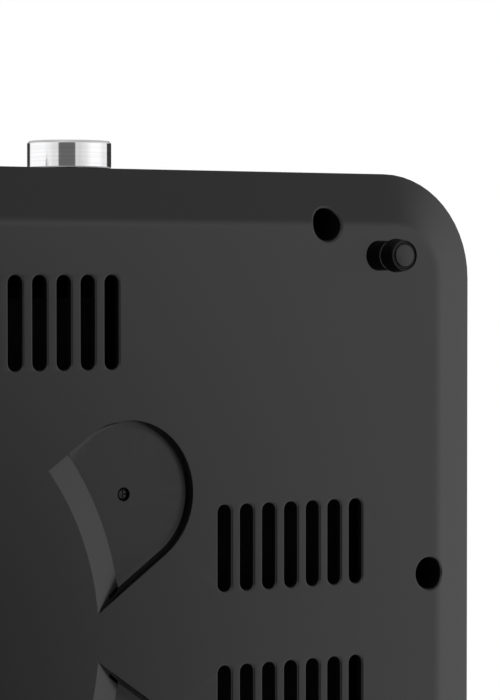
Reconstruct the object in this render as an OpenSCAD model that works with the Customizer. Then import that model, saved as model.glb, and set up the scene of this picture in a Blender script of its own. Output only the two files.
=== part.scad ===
// Two-plate table-top hot plate, standing on its four feet.
// Origin: under the middle of the body, on the table. +X to the right, -Y to the front, +Z up.

/* [Body] */
// Width of the body over the rim of the base pan
body_w = 500; // [480:1:560]
// Depth of the body over the rim of the base pan
body_d = 312.6; // [300:0.2:340]
// Radius of the body's four upright corners
corner_r = 37; // [30:0.5:42]
// Height of the body from the pan's shoulder to the top panel
housing_h = 36; // [36:0.5:44]
// Radius of the edge between the top panel and the skirt
top_edge_r = 5; // [3:0.5:8]
// Thickness of the steel sheet
sheet_t = 0.8; // [0.6:0.1:1.2]

/* [Base pan] */
// Wall of the plastic base pan
pan_t = 2.5; // [2:0.1:3]
// Height of the pan's sloping rim
rim_h = 7; // [5:0.5:9]
// Width of the pan's sloping rim
rim_w = 18; // [15:0.5:20]
// Radius where the flat bottom turns into the rim
rim_fillet_r = 10; // [5:0.5:14]
// Height of the upright edge above the rim
edge_h = 2; // [1.5:0.25:4]
// Height of the tongue that stands inside the skirt
tongue_h = 5; // [3:0.5:7]
// Thickness of that tongue
tongue_t = 1.6; // [1.2:0.1:2]

/* [Vents] */
// Width of a vent slot
slot_w = 5.2; // [4:0.1:6]
// Length of the front and rear slots
front_slot_l = 31.4; // [20:0.1:40]
// Length of the side slots
side_slot_l = 29.6; // [18:0.1:32]
// Distance from slot to slot in the front and rear groups
front_slot_pitch = 9.05; // [7:0.05:10]
// Distance from slot to slot in the side groups
side_slot_pitch = 9; // [7:0.05:10]
// Slots in a group
slot_count = 7; // [3:1:7]
// Middle of the front and rear slot groups, from the body's middle
front_slot_x = 71.3; // [60:0.1:80]
// Distance of those groups to the front or rear
front_slot_y = 105; // [95:0.1:112]
// Middle of the side slot groups, from the body's middle
side_slot_x = 169.5; // [165:0.1:176]
// Distance of those groups to the front or rear
side_slot_y = 27.5; // [20:0.1:34]

/* [Recesses] */
// Radius of a recess's round end
recess_r = 25.1; // [20:0.1:28]
// Depth of the recesses
recess_depth = 3.6; // [3:0.1:5]
// Middle of a recess's round end, to the side
recess_x = 104.8; // [100:0.1:112]
// Middle of a recess's round end, to the front or rear
recess_y = 47.2; // [44:0.1:54]
// Direction in which a recess runs towards the middle
recess_angle = 35.5; // [28:0.5:42]
// Radius of the middle disc at the pan's bottom
ramp_r = 93.2; // [88:0.1:98]
// Width of the ramp down to the recess floor
ramp_w = 10.4; // [6:0.1:14]
// Width of the relief slit at a ramp's ends
relief_w = 1.1; // [0.8:0.1:1.6]

/* [Feet] */
// Height of a foot below the pan
foot_h = 16; // [12:0.5:22]
// Largest diameter of a foot
foot_d = 12; // [10:0.5:16]
// Diameter of a foot against the pan
foot_collar_d = 10.8; // [9:0.2:14]
// Diameter of the stem that plugs into the pan
foot_stem_d = 6; // [4:0.5:7]
// Distance of the feet from the body's sides
foot_inset_x = 43.9; // [38:0.1:50]
// Distance of the feet from the front and rear
foot_inset_y = 28.9; // [26.5:0.1:34]

/* [Base screws] */
// Diameter of the deep wells for the base screws
well_d = 11.2; // [9:0.1:12]
// Height of the wells above the pan's bottom
well_h = 22; // [18:0.5:25]
// Front and rear wells, distance from the body's sides
corner_well_x = 65.3; // [62:0.1:72]
// Front and rear wells, distance from the front or rear
corner_well_y = 18.2; // [16:0.1:20]
// Side wells, distance from the body's sides
side_well_x = 21.7; // [19:0.1:24]
// Side wells, distance in front of the body's middle
side_well_y = 14.4; // [0:0.1:60]
// Diameter of the base screws' thread
base_screw_d = 4; // [3:0.5:5]
// Diameter of the recess screws' thread
shield_screw_d = 2.5; // [2:0.1:3]

/* [Plates] */
// Distance of the plates from the body's middle
plate_x = 118; // [112:1:126]
// Diameter of the right plate
right_plate_d = 185; // [165:1:190]
// Diameter of the left plate
left_plate_d = 155; // [145:1:190]
// Height of the cooking faces above the top panel
plate_rise = 11; // [8:0.5:14]
// Thickness of the iron above the heating coil
plate_t = 8; // [6:0.5:9]
// Whole height of a plate casting
plate_h = 22; // [20:0.5:25]
// Width by which a plate laps over its trim ring
plate_lap = 2.5; // [2:0.25:4]
// Width of a trim ring's flange on the panel
trim_w = 9; // [6:0.5:11]
// Height of a trim ring above the panel
trim_h = 2.4; // [1.6:0.1:4]
// Diameter of the round dimple in the middle of a plate
dimple_d = 40; // [30:1:50]
// Depth of that dimple
dimple_depth = 2; // [1:0.25:3]
// Diameter of the heating coil's tube
coil_d = 6; // [5:0.25:6.5]
// Least distance from turn to turn of the coil
coil_pitch = 11; // [10:0.5:16]
// Diameter of the central stud
stud_d = 8; // [6:0.5:10]
// Width of the clamp bar under a plate
bar_w = 24; // [18:1:30]
// Thickness of the clamp bar
bar_t = 2; // [1.5:0.25:3]
// Gap between a plate's cover and its clamp bar
bar_drop = 6; // [5:0.25:7]

/* [Controls] */
// Distance of the knobs from the body's middle
knob_x = 97.1; // [85:0.1:110]
// Diameter of a knob
knob_d = 28.5; // [25:0.5:34]
// Distance from the skirt to a knob's face
knob_reach = 10; // [9.5:0.1:16]
// Gap between the skirt and a knob's back
knob_gap = 0.8; // [0.5:0.1:1.4]
// Wall of a knob's metal cap
knob_wall = 1.4; // [1:0.1:2]
// Diameter of a regulator's shaft
shaft_d = 6; // [5:0.25:8]
// Depth of the flat on that shaft
shaft_flat = 1.2; // [0.6:0.1:1.6]
// Width of a regulator
regulator_w = 34; // [30:1:40]
// Height of a regulator
regulator_h = 25; // [22:0.5:25.5]
// Depth of a regulator
regulator_d = 26; // [22:0.5:28]
// Distance of the indicator lamps from the body's middle
lamp_x = 24; // [16:0.5:40]
// Diameter of a lamp's lens
lamp_d = 7; // [5:0.5:9]

/* [Supply] */
// Diameter of the hole that the supply cord enters by
cord_hole_d = 7.2; // [6:0.1:9]
// Distance of the cord bush from the body's middle
cord_bush_x = 0; // [-20:1:20]
// Reach of the cord bush behind the skirt
cord_bush_reach = 10; // [6:0.5:14]
// Width of the terminal block
block_w = 42; // [38:1:50]
// Depth of the terminal block
block_d = 18; // [16:0.5:20]
// Height of the terminal block
block_h = 15; // [12:0.5:16]
// Diameter of an insulated wire
wire_d = 2.6; // [2:0.1:3]

/* [Heat shield] */
// Distance of the heat shield from the body's sides
shield_inset_x = 38; // [37:0.5:50]
// Distance of the heat shield from the front and rear
shield_inset_y = 43.3; // [42:0.1:50]
// Height of the heat shield's turned-up edge
shield_edge_h = 6; // [4:0.5:8]
// Height of the posts that carry the heat shield
post_h = 5.2; // [4:0.1:6]

/* [Hidden] */
$fn = 96;

// Clearances
play = 0.05;           // radial gap of a shaft or pin in its hole
fit_gap = 0.2;         // gap between parts that slot together
skin_gap = 0.3;        // step from the pan's edge in to the skirt
wire_gap = 0.4;        // gap between a wire's end and its terminal
wire_steps = 5;        // points of a wire from bend to bend
ASIDE = [0.31, 0.17, 0.93]; // direction that no tube follows
screw_gap = 0.5;       // a plain hole's diameter over its screw's thread or head
e = 1;                 // length by which a cut runs past a face

// Heights
floor_z = foot_h;                                // underside of the pan
inside_z = floor_z + pan_t;                      // top of the pan's floor
recess_z = floor_z + recess_depth;               // floor of a recess, seen from below
shoulder_z = floor_z + rim_h + edge_h;           // where the skirt stands
panel_z = shoulder_z + housing_h;                // top of the top panel
panel_under_z = panel_z - sheet_t;
post_z = recess_z + pan_t + post_h;              // underside of the heat shield
control_z = shoulder_z + housing_h / 2;          // height of the knobs' axes
face_z = panel_z + plate_rise;                   // cooking faces
casting_z = face_z - plate_h;                    // underside of the castings
coil_z = face_z - plate_t - coil_d / 2 - play;   // middle of the coil's tube
cover_z = casting_z - sheet_t;                   // underside of the plate covers
bar_top_z = cover_z - bar_drop;
nut_h = 0.8 * stud_d;
nut_z = bar_top_z - bar_t - nut_h;
stud_end_z = nut_z - 1.5;
stud_top_z = casting_z + 9;

// Skirt
skirt_x = body_w / 2 - skin_gap;                 // outside of the skirt
skirt_y = body_d / 2 - skin_gap;
skirt_r = corner_r - skin_gap;
wall_x = skirt_x - sheet_t;                      // inside of the skirt
wall_y = skirt_y - sheet_t;

// Heat shield
shield_w = body_w - 2 * shield_inset_x;
shield_d = body_d - 2 * shield_inset_y;

// Sides and corners, as factors on X and Y
BOTH = [-1, 1];
function corners(x, y) = [for (sx = BOTH, sy = BOTH) [sx * x, sy * y]];
CORNER_WELLS = corners(body_w / 2 - corner_well_x, body_d / 2 - corner_well_y);
SIDE_WELLS = [for (sx = BOTH) [sx * (body_w / 2 - side_well_x), -side_well_y]];
WELLS = concat(CORNER_WELLS, SIDE_WELLS);
RECESSES = corners(recess_x, recess_y);
FEET = corners(body_w / 2 - foot_inset_x, body_d / 2 - foot_inset_y);

// Feet
tip_r = 0.45 * foot_d;
tip_edge = 0.4;                                  // chamfer round a foot's end face
groove_r = tip_r - 1.3;                          // inside of the groove in the end face
groove_w = 0.6;
groove_h = 0.8;
ring_z = 0.48 * foot_h;                          // height of a foot's thickest ring
ring_edge = 0.5;
neck_r = 0.42 * foot_collar_d;                   // waist above that ring
neck_z = 0.58 * foot_h;
catch_w = 0.8;                                   // lip that holds a foot's stem in the pan
catch_h = 3;

// Screws and plates
base_head_d = 2 * base_screw_d;
base_head_h = 0.7 * base_screw_d;
shield_head_d = 1.7 * shield_screw_d;
shield_head_h = 0.6 * shield_screw_d;
shield_sink = 2.2;                               // depth of a recess screw's counterbore
well_end_t = pan_t;
bracket_t = 2;
bracket_w = 16;
bracket_up = 12;
boss_d = shield_head_d + 2 * pan_t;
casting_wall = 6;
plate_edge = 2;                                  // rounding of a plate's upper edge
trim_drop = 5;                                   // length of a trim ring's neck below the panel
trim_t = 1;                                      // wall of a trim ring
hub_r = dimple_d / 2 + 4;                        // hub in the middle of a casting
coil_in_r = hub_r + coil_d / 2 + 5;              // innermost turn
coil_rim_gap = 3.5;                              // gap from the outermost turn to the casting's rim
lead_end_z = cover_z - 5;                        // lower end of a coil's two leads
bead_r = 4;
pin_r = 1.6;
cutout_r = 8;
cutout_y = 40;                                   // thermal cut-out, behind a plate's middle
cutout_pin_y = 3;
cutout_pin_l = 8;
bar_foot = 10;                                   // length of a clamp bar's feet

function body_r(d) = d / 2 - plate_lap;          // casting below its lap
function opening_r(d) = body_r(d) + 2;           // hole in the panel
function cavity_r(d) = body_r(d) - casting_wall;
function coil_out_r(d) = cavity_r(d) - coil_d / 2 - coil_rim_gap;
function coil_turns(d) = floor((coil_out_r(d) - coil_in_r) / coil_pitch);

// Controls
knob_back_y = -skirt_y - knob_gap;
knob_face_y = -skirt_y - knob_reach;
fixing_x = knob_d / 2 - 4.75;                    // regulator screws, from the shaft
fixing_d = 3;
fixing_l = 8;
bush_d = shaft_d + 3.6;                          // threaded neck of a regulator
neck_out = 1.6;                                  // its length outside the skirt
hub_web = 2.4;                                   // thickness of the hub's disc
hub_d = shaft_d + 5;
wall_depth = sheet_t + play;                     // back of the skirt, where the regulators sit
shaft_in = regulator_d / 2;                      // shaft inside its regulator
tab_l = 8;                                       // spade terminals
tab_w = 6;
tab_t = 0.8;
tab_x = 8;
lamp_depth = 9;
knob_edge = 1;                                   // chamfer round a knob's face
knob_back_edge = 0.3;
marker_w = 1.4;
marker_in = 4;                                   // marker's inner end, from the knob's middle
marker_l = knob_d / 2 - 6;
marker_t = 0.5;
lens_flange = 1.2;                               // width of a lens's flange on the skirt
lens_flange_t = 0.6;
lens_h = 2.1;                                    // height of a lens over the skirt
holder_wall = 2;
lamp_pin_y = 3;
lamp_pin_l = 4;

// Supply
bush_wall = 3.4;                                 // wall of the cord bush in the skirt's hole
bush_inside = 3;                                 // length of the cord bush inside the skirt
bush_flange = 2;                                 // width of its flanges beyond the hole
bush_flange_t = 2;
bush_tip = 1;                                    // its wall at the outer end
bush_edge = 0.5;
block_y = wall_y - 24;
block_boss_h = 5;
block_boss_d = 7;
block_screw_d = 2.4;
block_z = inside_z + block_boss_h;
POLES = [-16, -8, 0, 8, 16];
pole_z = block_z + block_h / 3;
pole_depth = 5;
pole_top_z = pole_z + wire_d / 2 + 1.7;          // seat of the terminal screws
block_screw_x = 12;
block_foot_t = 3;                                // block below its screws' heads
pole_screw_d = 4;
pole_screw_h = 5;
earth_y = shield_d / 2 - 24;
earth_d = 4;
earth_h = 10;
wire_z = post_z + sheet_t + wire_d / 2 + 1.5;    // height at which the wires cross the shield
over_edge_z = post_z + sheet_t + shield_edge_h + wire_d / 2 + 2;
lead_run = 6;                                    // straight run of a wire off its terminal
lead_drop = 8;                                   // loop of a wire below a coil's lead

// ---- Helpers ----

// Sweeps a profile round a rectangle with round corners. The profile's X is the distance from
// a corner's centre, up to r, and its Y is the height.
module round_sweep(half_w, half_d, r) {
    cx = half_w - r;
    cy = half_d - r;
    for (q = [0:3])
        translate([q == 0 || q == 3 ? cx : -cx, q < 2 ? cy : -cy, 0])
            rotate([0, 0, 90 * q]) rotate_extrude(angle = 90) children();
    for (q = [0:3])
        rotate([0, 0, 90 * q]) translate([0, q % 2 == 0 ? cy : cx, 0])
            rotate([90, 0, 90]) linear_extrude(q % 2 == 0 ? 2 * cx : 2 * cy, center = true) children();
}

// Flat plate that fills the middle of such a sweep
module middle_slab(half_w, half_d, r, z, t) {
    translate([r - half_w, r - half_d, z]) cube([2 * (half_w - r), 2 * (half_d - r), t]);
}

// Round-ended slot outline along Y, centred
module slot_outline(w, l) {
    square([w, l - w], center = true);
    for (s = BOTH) translate([0, s * (l - w) / 2]) circle(d = w);
}

// Points the children, built along +Z, to the front (-Y) from a place on the skirt
module to_front(x, z) {
    translate([x, -skirt_y, z]) rotate([90, 0, 0]) children();
}

// Catmull-Rom point between b and c
function glide(a, b, c, d, t) =
    0.5 * ((2 * b) + (c - a) * t + (2 * a - 5 * b + 4 * c - d) * t * t + (3 * b - a - 3 * c + d) * t * t * t);
function smooth(p, n) = let (m = len(p) - 1) concat(
    [for (i = [0 : m - 1], k = [0 : n - 1])
        glide(p[max(i - 1, 0)], p[i], p[i + 1], p[min(i + 2, m)], k / n)], [p[m]]);
function unit(v) = v / norm(v);
function tangent(p, i) = unit(p[min(i + 1, len(p) - 1)] - p[max(i - 1, 0)]);

// Insulated wire along a smooth curve through the given points
module wire(points) {
    m = len(points) - 1;
    start = points[0] + wire_gap * unit(points[1] - points[0]);
    finish = points[m] + wire_gap * unit(points[m - 1] - points[m]);
    tube(smooth(concat([start], [for (i = [1 : m - 1]) points[i]], [finish]), wire_steps), wire_d);
}

// Round tube along a path
module tube(p, d, sides = 8) {
    n = len(p);
    rings = [for (i = [0 : n - 1])
        let (t = tangent(p, i), u = unit(cross(t, ASIDE)), v = cross(t, u))
            for (k = [0 : sides - 1])
                p[i] + d / 2 * (cos(360 * k / sides) * u + sin(360 * k / sides) * v)];
    walls = [for (i = [0 : n - 2], k = [0 : sides - 1])
        let (a = i * sides, b = a + sides, m = (k + 1) % sides) [a + k, b + k, b + m, a + m]];
    ends = [[for (k = [0 : sides - 1]) k], [for (k = [sides - 1 : -1 : 0]) (n - 1) * sides + k]];
    polyhedron(points = rings, faces = concat(walls, ends), convexity = 6);
}

// ---- Base pan ----

rim_slope = atan(rim_h / rim_w);
rim_x = corner_r - rim_w;
ramp_slope = atan(recess_depth / ramp_w);

// Outside of the pan, filled up to a height
module pan_outer_profile(top) {
    run = rim_fillet_r * tan(rim_slope / 2);
    difference() {
        polygon([[0, 0], [rim_x, 0], [corner_r, rim_h], [corner_r, top], [0, top]]);
        difference() {
            polygon([[rim_x - run, 0], [rim_x - run, -e], [rim_x + run, -e],
                [rim_x + run * cos(rim_slope), run * sin(rim_slope)]]);
            translate([rim_x - run, rim_fillet_r]) circle(rim_fillet_r);
        }
    }
}

// Wall of the pan, with the tongue that stands inside the skirt
module pan_wall_profile() {
    tongue_x = wall_x - body_w / 2 + corner_r - fit_gap;
    floor_x = rim_x - pan_t * tan(rim_slope / 2);
    inner_x = tongue_x - tongue_t;
    difference() {
        pan_outer_profile(rim_h + edge_h);
        polygon([[-e, pan_t], [floor_x, pan_t],
            [inner_x, pan_t + (inner_x - floor_x) * tan(rim_slope)], [inner_x, 3 * rim_h], [-e, 3 * rim_h]]);
    }
    translate([inner_x, rim_h + edge_h / 2]) square([tongue_t, edge_h / 2 + tongue_h]);
}

module pan_filled(top) {
    round_sweep(body_w / 2, body_d / 2, corner_r) pan_outer_profile(top);
    middle_slab(body_w / 2, body_d / 2, corner_r, 0, top);
}

// Recess outline: a round end that runs on towards the middle
module recess_prism(c, r, z, h) {
    translate([c[0], c[1], z])
        rotate([0, 0, atan2(-sign(c[1]) * sin(recess_angle), -sign(c[0]) * cos(recess_angle))])
            linear_extrude(h) {
                circle(r);
                translate([0, -r]) square([recess_x, 2 * r]);
            }
}

// The disc in the middle of the pan, with the ramps round it. It starts flat at the given height.
module middle_disc(r, flat_z, low, high) {
    rotate_extrude() polygon([[0, low], [r, low], [r, flat_z],
        [r + (high - flat_z) * ramp_w / recess_depth, high], [0, high]]);
}

// Raised floor over a recess, inside the pan
module recess_roof(c) {
    difference() {
        recess_prism(c, recess_r + pan_t, 0, recess_depth + pan_t);
        middle_disc(ramp_r - pan_t * tan(ramp_slope / 2), pan_t, -e, recess_depth + pan_t + e);
    }
}

// The hollow of a recess, seen from below, with the ramp left standing
module recess_hollow(c) {
    difference() {
        recess_prism(c, recess_r, -e, recess_depth + e);
        middle_disc(ramp_r, 0, -2 * e, recess_depth + e);
    }
}

// Slits that free the ends of a ramp from the side walls
module recess_reliefs(c) {
    intersection() {
        difference() {
            recess_prism(c, recess_r - 0.4, -e, recess_depth + 2 * pan_t);
            recess_prism(c, recess_r - 0.4 - relief_w, -2 * e, recess_depth + 3 * pan_t);
        }
        difference() {
            translate([0, 0, -e]) cylinder(r = ramp_r + ramp_w, h = recess_depth + 2 * pan_t);
            translate([0, 0, -2 * e]) cylinder(r = ramp_r, h = recess_depth + 3 * pan_t);
        }
    }
}

module vent_slots() {
    for (c = corners(front_slot_x, front_slot_y), i = [0 : slot_count - 1])
        translate([c[0] + (i - (slot_count - 1) / 2) * front_slot_pitch, c[1], -e])
            linear_extrude(pan_t + 2 * e) slot_outline(slot_w, front_slot_l);
    for (c = corners(side_slot_x, side_slot_y), i = [0 : slot_count - 1])
        translate([c[0] + (i - (slot_count - 1) / 2) * side_slot_pitch, c[1], -e])
            linear_extrude(pan_t + 2 * e) slot_outline(slot_w, side_slot_l);
}

module base_pan() {
    color("#2b2b2c") translate([0, 0, floor_z]) difference() {
        union() {
            round_sweep(body_w / 2, body_d / 2, corner_r) pan_wall_profile();
            middle_slab(body_w / 2, body_d / 2, corner_r, 0, pan_t);
            intersection() {
                pan_filled(well_h + e);
                for (c = WELLS) translate([c[0], c[1], 0]) cylinder(d = well_d + 2 * pan_t, h = well_h);
            }
            for (c = RECESSES) {
                recess_roof(c);
                translate([c[0], c[1], recess_depth]) cylinder(d = boss_d, h = pan_t + post_h);
            }
            for (s = BOTH)
                translate([cord_bush_x + s * block_screw_x, block_y, 0])
                    cylinder(d = block_boss_d, h = pan_t + block_boss_h);
        }
        vent_slots();
        for (c = RECESSES) {
            recess_hollow(c);
            recess_reliefs(c);
            translate([c[0], c[1], 0]) {
                cylinder(d = shield_screw_d + screw_gap, h = recess_depth + pan_t + post_h + e);
                cylinder(d = shield_head_d + screw_gap, h = recess_depth + shield_sink);
            }
        }
        for (c = WELLS) translate([c[0], c[1], -e]) {
            cylinder(d = well_d, h = well_h - well_end_t + e);
            cylinder(d = base_screw_d + screw_gap, h = well_h + 3 * e);
        }
        for (c = FEET) translate([c[0], c[1], -e]) cylinder(d = foot_stem_d + 2 * play, h = pan_t + 2 * e);
        for (s = BOTH)
            translate([cord_bush_x + s * block_screw_x, block_y, pan_t])
                cylinder(d = block_screw_d + 2 * play, h = block_boss_h + e);
    }
}

// Rubber foot: a tapered collar, the main ring and a tip with a grooved end face
module foot(c) {
    r = foot_d / 2;
    stem_r = foot_stem_d / 2;
    pan_top = foot_h + pan_t + play;
    color("#161616") translate([c[0], c[1], 0]) difference() {
        rotate_extrude() polygon([
            [0, 0], [tip_r - tip_edge, 0], [tip_r, tip_edge], [r, ring_z - ring_edge], [r, ring_z],
            [r - ring_edge / 2, ring_z + ring_edge], [neck_r, neck_z], [foot_collar_d / 2, foot_h],
            [stem_r, foot_h], [stem_r, pan_top], [stem_r + catch_w, pan_top],
            [stem_r - catch_w, pan_top + catch_h], [0, pan_top + catch_h]]);
        difference() {
            translate([0, 0, -e]) cylinder(r = groove_r + groove_w, h = groove_h + e);
            translate([0, 0, -2 * e]) cylinder(r = groove_r, h = groove_h + 3 * e);
        }
    }
}

module foot_rear_left() { foot(FEET[1]); }
module foot_front_left() { foot(FEET[0]); }
module foot_rear_right() { foot(FEET[3]); }
module foot_front_right() { foot(FEET[2]); }

// ---- Housing ----

module sheet_profile(run, top, edge) {
    square([run - edge, top]);
    square([run, top - edge]);
    translate([run - edge, top - edge]) circle(edge);
}

module top_housing() {
    color("#c9cacc") difference() {
        translate([0, 0, shoulder_z]) {
            round_sweep(skirt_x, skirt_y, skirt_r) difference() {
                sheet_profile(skirt_r, housing_h, top_edge_r);
                translate([-e, -e]) square([e, housing_h + e]);
                translate([0, -e])
                    sheet_profile(skirt_r - sheet_t, housing_h - sheet_t + e, top_edge_r - sheet_t);
            }
            middle_slab(skirt_x, skirt_y, skirt_r, housing_h - sheet_t, sheet_t);
        }
        for (p = [[-plate_x, left_plate_d], [plate_x, right_plate_d]])
            translate([p[0], 0, panel_under_z - e]) cylinder(r = opening_r(p[1]), h = sheet_t + 2 * e);
        for (s = BOTH) {
            to_front(s * knob_x, control_z) translate([0, 0, -2 * sheet_t]) {
                cylinder(d = bush_d + screw_gap, h = 3 * sheet_t);
                for (f = BOTH) translate([f * fixing_x, 0, 0])
                    cylinder(d = fixing_d + screw_gap, h = 3 * sheet_t);
            }
            to_front(s * lamp_x, control_z) translate([0, 0, -2 * sheet_t])
                cylinder(d = lamp_d + 2 * play, h = 3 * sheet_t);
        }
        to_rear() translate([0, 0, -2 * sheet_t])
            cylinder(r = cord_hole_d / 2 + bush_wall + play, h = 3 * sheet_t);
    }
}

// Points the children, built along +Z, out of the skirt at the cord bush
module to_rear() {
    translate([cord_bush_x, skirt_y, control_z]) rotate([-90, 0, 0]) children();
}

// L-shaped bracket on the skirt's inside, with a threaded tab over a well.
// It is built for a wall towards +X; reach is the distance from the screw to that wall.
module bracket(reach) {
    difference() {
        union() {
            translate([-bracket_w / 2, -bracket_w / 2, 0])
                cube([reach + bracket_w / 2, bracket_w, bracket_t]);
            translate([reach - bracket_t, -bracket_w / 2, 0]) cube([bracket_t, bracket_w, bracket_up]);
        }
        translate([0, 0, -e]) cylinder(d = base_screw_d + 2 * play, h = bracket_t + 2 * e);
    }
}

module mounting_brackets() {
    color("#9ea2a6") {
        for (c = CORNER_WELLS) translate([c[0], c[1], floor_z + well_h])
            rotate([0, 0, 90 * sign(c[1])]) bracket(wall_y - abs(c[1]));
        for (c = SIDE_WELLS) translate([c[0], c[1], floor_z + well_h])
            rotate([0, 0, c[0] > 0 ? 0 : 180]) bracket(wall_x - abs(c[0]));
    }
}

// Pan-head screw pointing up, with a cross recess; the head's seat is at z = 0
module screw(d, head_d, head_h, l) {
    difference() {
        union() {
            translate([0, 0, -head_h]) cylinder(d = head_d, h = head_h);
            cylinder(d = d, h = l);
        }
        for (a = [0, 90]) rotate([0, 0, a])
            translate([-0.3 * head_d, -0.07 * head_d, -head_h - e])
                cube([0.6 * head_d, 0.14 * head_d, 0.5 * head_h + e]);
    }
}

module base_screws() {
    color("#3a3b3d") for (c = WELLS) translate([c[0], c[1], floor_z + well_h - well_end_t])
        screw(base_screw_d, base_head_d, base_head_h, well_end_t + bracket_t + 2);
}

module shield_screws() {
    color("#3a3b3d") for (c = RECESSES) translate([c[0], c[1], recess_z + shield_sink])
        screw(shield_screw_d, shield_head_d, shield_head_h, pan_t + post_h - shield_sink + sheet_t + 1.5);
}

module heat_shield() {
    color("#29292b") difference() {
        translate([-shield_w / 2, -shield_d / 2, post_z]) cube([shield_w, shield_d, sheet_t + shield_edge_h]);
        translate([-shield_w / 2 + sheet_t, -shield_d / 2 + sheet_t, post_z + sheet_t])
            cube([shield_w - 2 * sheet_t, shield_d - 2 * sheet_t, shield_edge_h + e]);
        for (c = RECESSES) translate([c[0], c[1], post_z - e])
            cylinder(d = shield_screw_d + 2 * play, h = sheet_t + 2 * e);
        translate([cord_bush_x, earth_y, post_z - e]) cylinder(d = earth_d + 2 * play, h = sheet_t + 2 * e);
    }
}

// ---- Plates ----

module hotplate(side, d) {
    lap_z = panel_z + trim_h;
    color("#3b3b3d") translate([side * plate_x, 0, 0]) difference() {
        rotate_extrude() polygon([
            [0, face_z - dimple_depth], [dimple_d / 2 - dimple_depth, face_z - dimple_depth],
            [dimple_d / 2, face_z], [d / 2 - plate_edge, face_z],
            [d / 2 - plate_edge / 4, face_z - plate_edge / 4], [d / 2, face_z - plate_edge],
            [d / 2, lap_z], [body_r(d), lap_z], [body_r(d), casting_z], [cavity_r(d), casting_z],
            [cavity_r(d), face_z - plate_t], [hub_r, face_z - plate_t], [hub_r, casting_z], [0, casting_z]]);
        translate([0, 0, casting_z - e])
            cylinder(d = stud_d + 2 * play, h = stud_top_z - casting_z + e + play);
    }
}

module left_hotplate() { hotplate(-1, left_plate_d); }
module right_hotplate() { hotplate(1, right_plate_d); }

module trim_ring(side, d) {
    r = body_r(d) + fit_gap;
    out = r + trim_w;
    color("#d6d7d9") translate([side * plate_x, 0, 0]) rotate_extrude() polygon([
        [r, panel_z - trim_drop], [r + trim_t, panel_z - trim_drop], [r + trim_t, panel_z], [out, panel_z],
        [out, panel_z + 0.6 * trim_t], [out - trim_t, panel_z + trim_t],
        [r + 0.55 * trim_w, panel_z + trim_t],
        [r + 0.35 * trim_w, panel_z + trim_h], [r, panel_z + trim_h]]);
}

module left_trim_ring() { trim_ring(-1, left_plate_d); }
module right_trim_ring() { trim_ring(1, right_plate_d); }

// Spiral heating tube with a lead down from each end, on the side towards the body's middle
module heating_coil(side, d) {
    turns = coil_turns(d);
    steps = 24;
    start = side > 0 ? 180 : 0;
    color("#6f6257") translate([side * plate_x, 0, 0]) {
        tube([for (i = [-1 : turns * steps + 1])
            let (r = coil_in_r + (coil_out_r(d) - coil_in_r) * i / (turns * steps),
                a = start + 360 * i / steps)
                [r * cos(a), r * sin(a), coil_z]], coil_d);
        for (r = [coil_in_r, coil_out_r(d)])
            translate([-side * r, 0, lead_end_z]) cylinder(r = pin_r, h = coil_z - lead_end_z);
    }
}

module left_heating_coil() { heating_coil(-1, left_plate_d); }
module right_heating_coil() { heating_coil(1, right_plate_d); }

// Children at the two leads of a plate
module at_leads(side, d) {
    for (r = [coil_in_r, coil_out_r(d)]) translate([side * (plate_x - r), 0, 0]) children();
}

module insulation_pad(side, d) {
    color("#e6e2d6") difference() {
        translate([side * plate_x, 0, casting_z])
            cylinder(r = cavity_r(d) - fit_gap, h = coil_z - coil_d / 2 - play - casting_z);
        translate([side * plate_x, 0, casting_z - e]) cylinder(r = hub_r + fit_gap, h = plate_h);
        at_leads(side, d) translate([0, 0, casting_z - e]) cylinder(r = bead_r + play, h = plate_h);
    }
}

module left_insulation_pad() { insulation_pad(-1, left_plate_d); }
module right_insulation_pad() { insulation_pad(1, right_plate_d); }

module plate_cover(side, d) {
    color("#a8abae") difference() {
        translate([side * plate_x, 0, cover_z]) cylinder(r = body_r(d) - 1, h = sheet_t);
        translate([side * plate_x, 0, cover_z - e]) cylinder(d = stud_d + 2 * play, h = sheet_t + 2 * e);
        at_leads(side, d) translate([0, 0, cover_z - e]) cylinder(r = bead_r + play, h = sheet_t + 2 * e);
    }
}

module left_plate_cover() { plate_cover(-1, left_plate_d); }
module right_plate_cover() { plate_cover(1, right_plate_d); }

// Ceramic beads that carry the leads through the cover
module lead_beads(side, d) {
    color("#f1eee6") at_leads(side, d) difference() {
        translate([0, 0, cover_z - 2.5]) {
            cylinder(r = bead_r, h = casting_z - cover_z + 2.5 + 3);
            cylinder(r = bead_r + 1, h = 2.5);
        }
        translate([0, 0, cover_z - 3]) cylinder(r = pin_r + play, h = plate_h);
    }
}

module left_lead_beads() { lead_beads(-1, left_plate_d); }
module right_lead_beads() { lead_beads(1, right_plate_d); }

module centre_stud(side) {
    color("#8d9094") translate([side * plate_x, 0, stud_end_z])
        cylinder(d = stud_d, h = stud_top_z - stud_end_z);
}

module left_centre_stud() { centre_stud(-1); }
module right_centre_stud() { centre_stud(1); }

// Strap below a plate; its two feet press up against the top panel
module clamp_bar(side, d) {
    leg = opening_r(d) + 2;
    low = bar_top_z - bar_t;
    color("#8b8f93") translate([side * plate_x, 0, 0]) difference() {
        rotate([90, 0, 90]) translate([0, 0, -bar_w / 2]) linear_extrude(bar_w) {
            translate([-leg - bar_t, low]) square([2 * (leg + bar_t), bar_t]);
            for (s = BOTH) {
                translate([s > 0 ? leg : -leg - bar_t, low]) square([bar_t, panel_under_z - low]);
                translate([s > 0 ? leg : -leg - bar_foot, panel_under_z - bar_t]) square([bar_foot, bar_t]);
            }
        }
        translate([0, 0, low - e]) cylinder(d = stud_d + 2 * play, h = bar_t + 2 * e);
    }
}

module left_clamp_bar() { clamp_bar(-1, left_plate_d); }
module right_clamp_bar() { clamp_bar(1, right_plate_d); }

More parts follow.
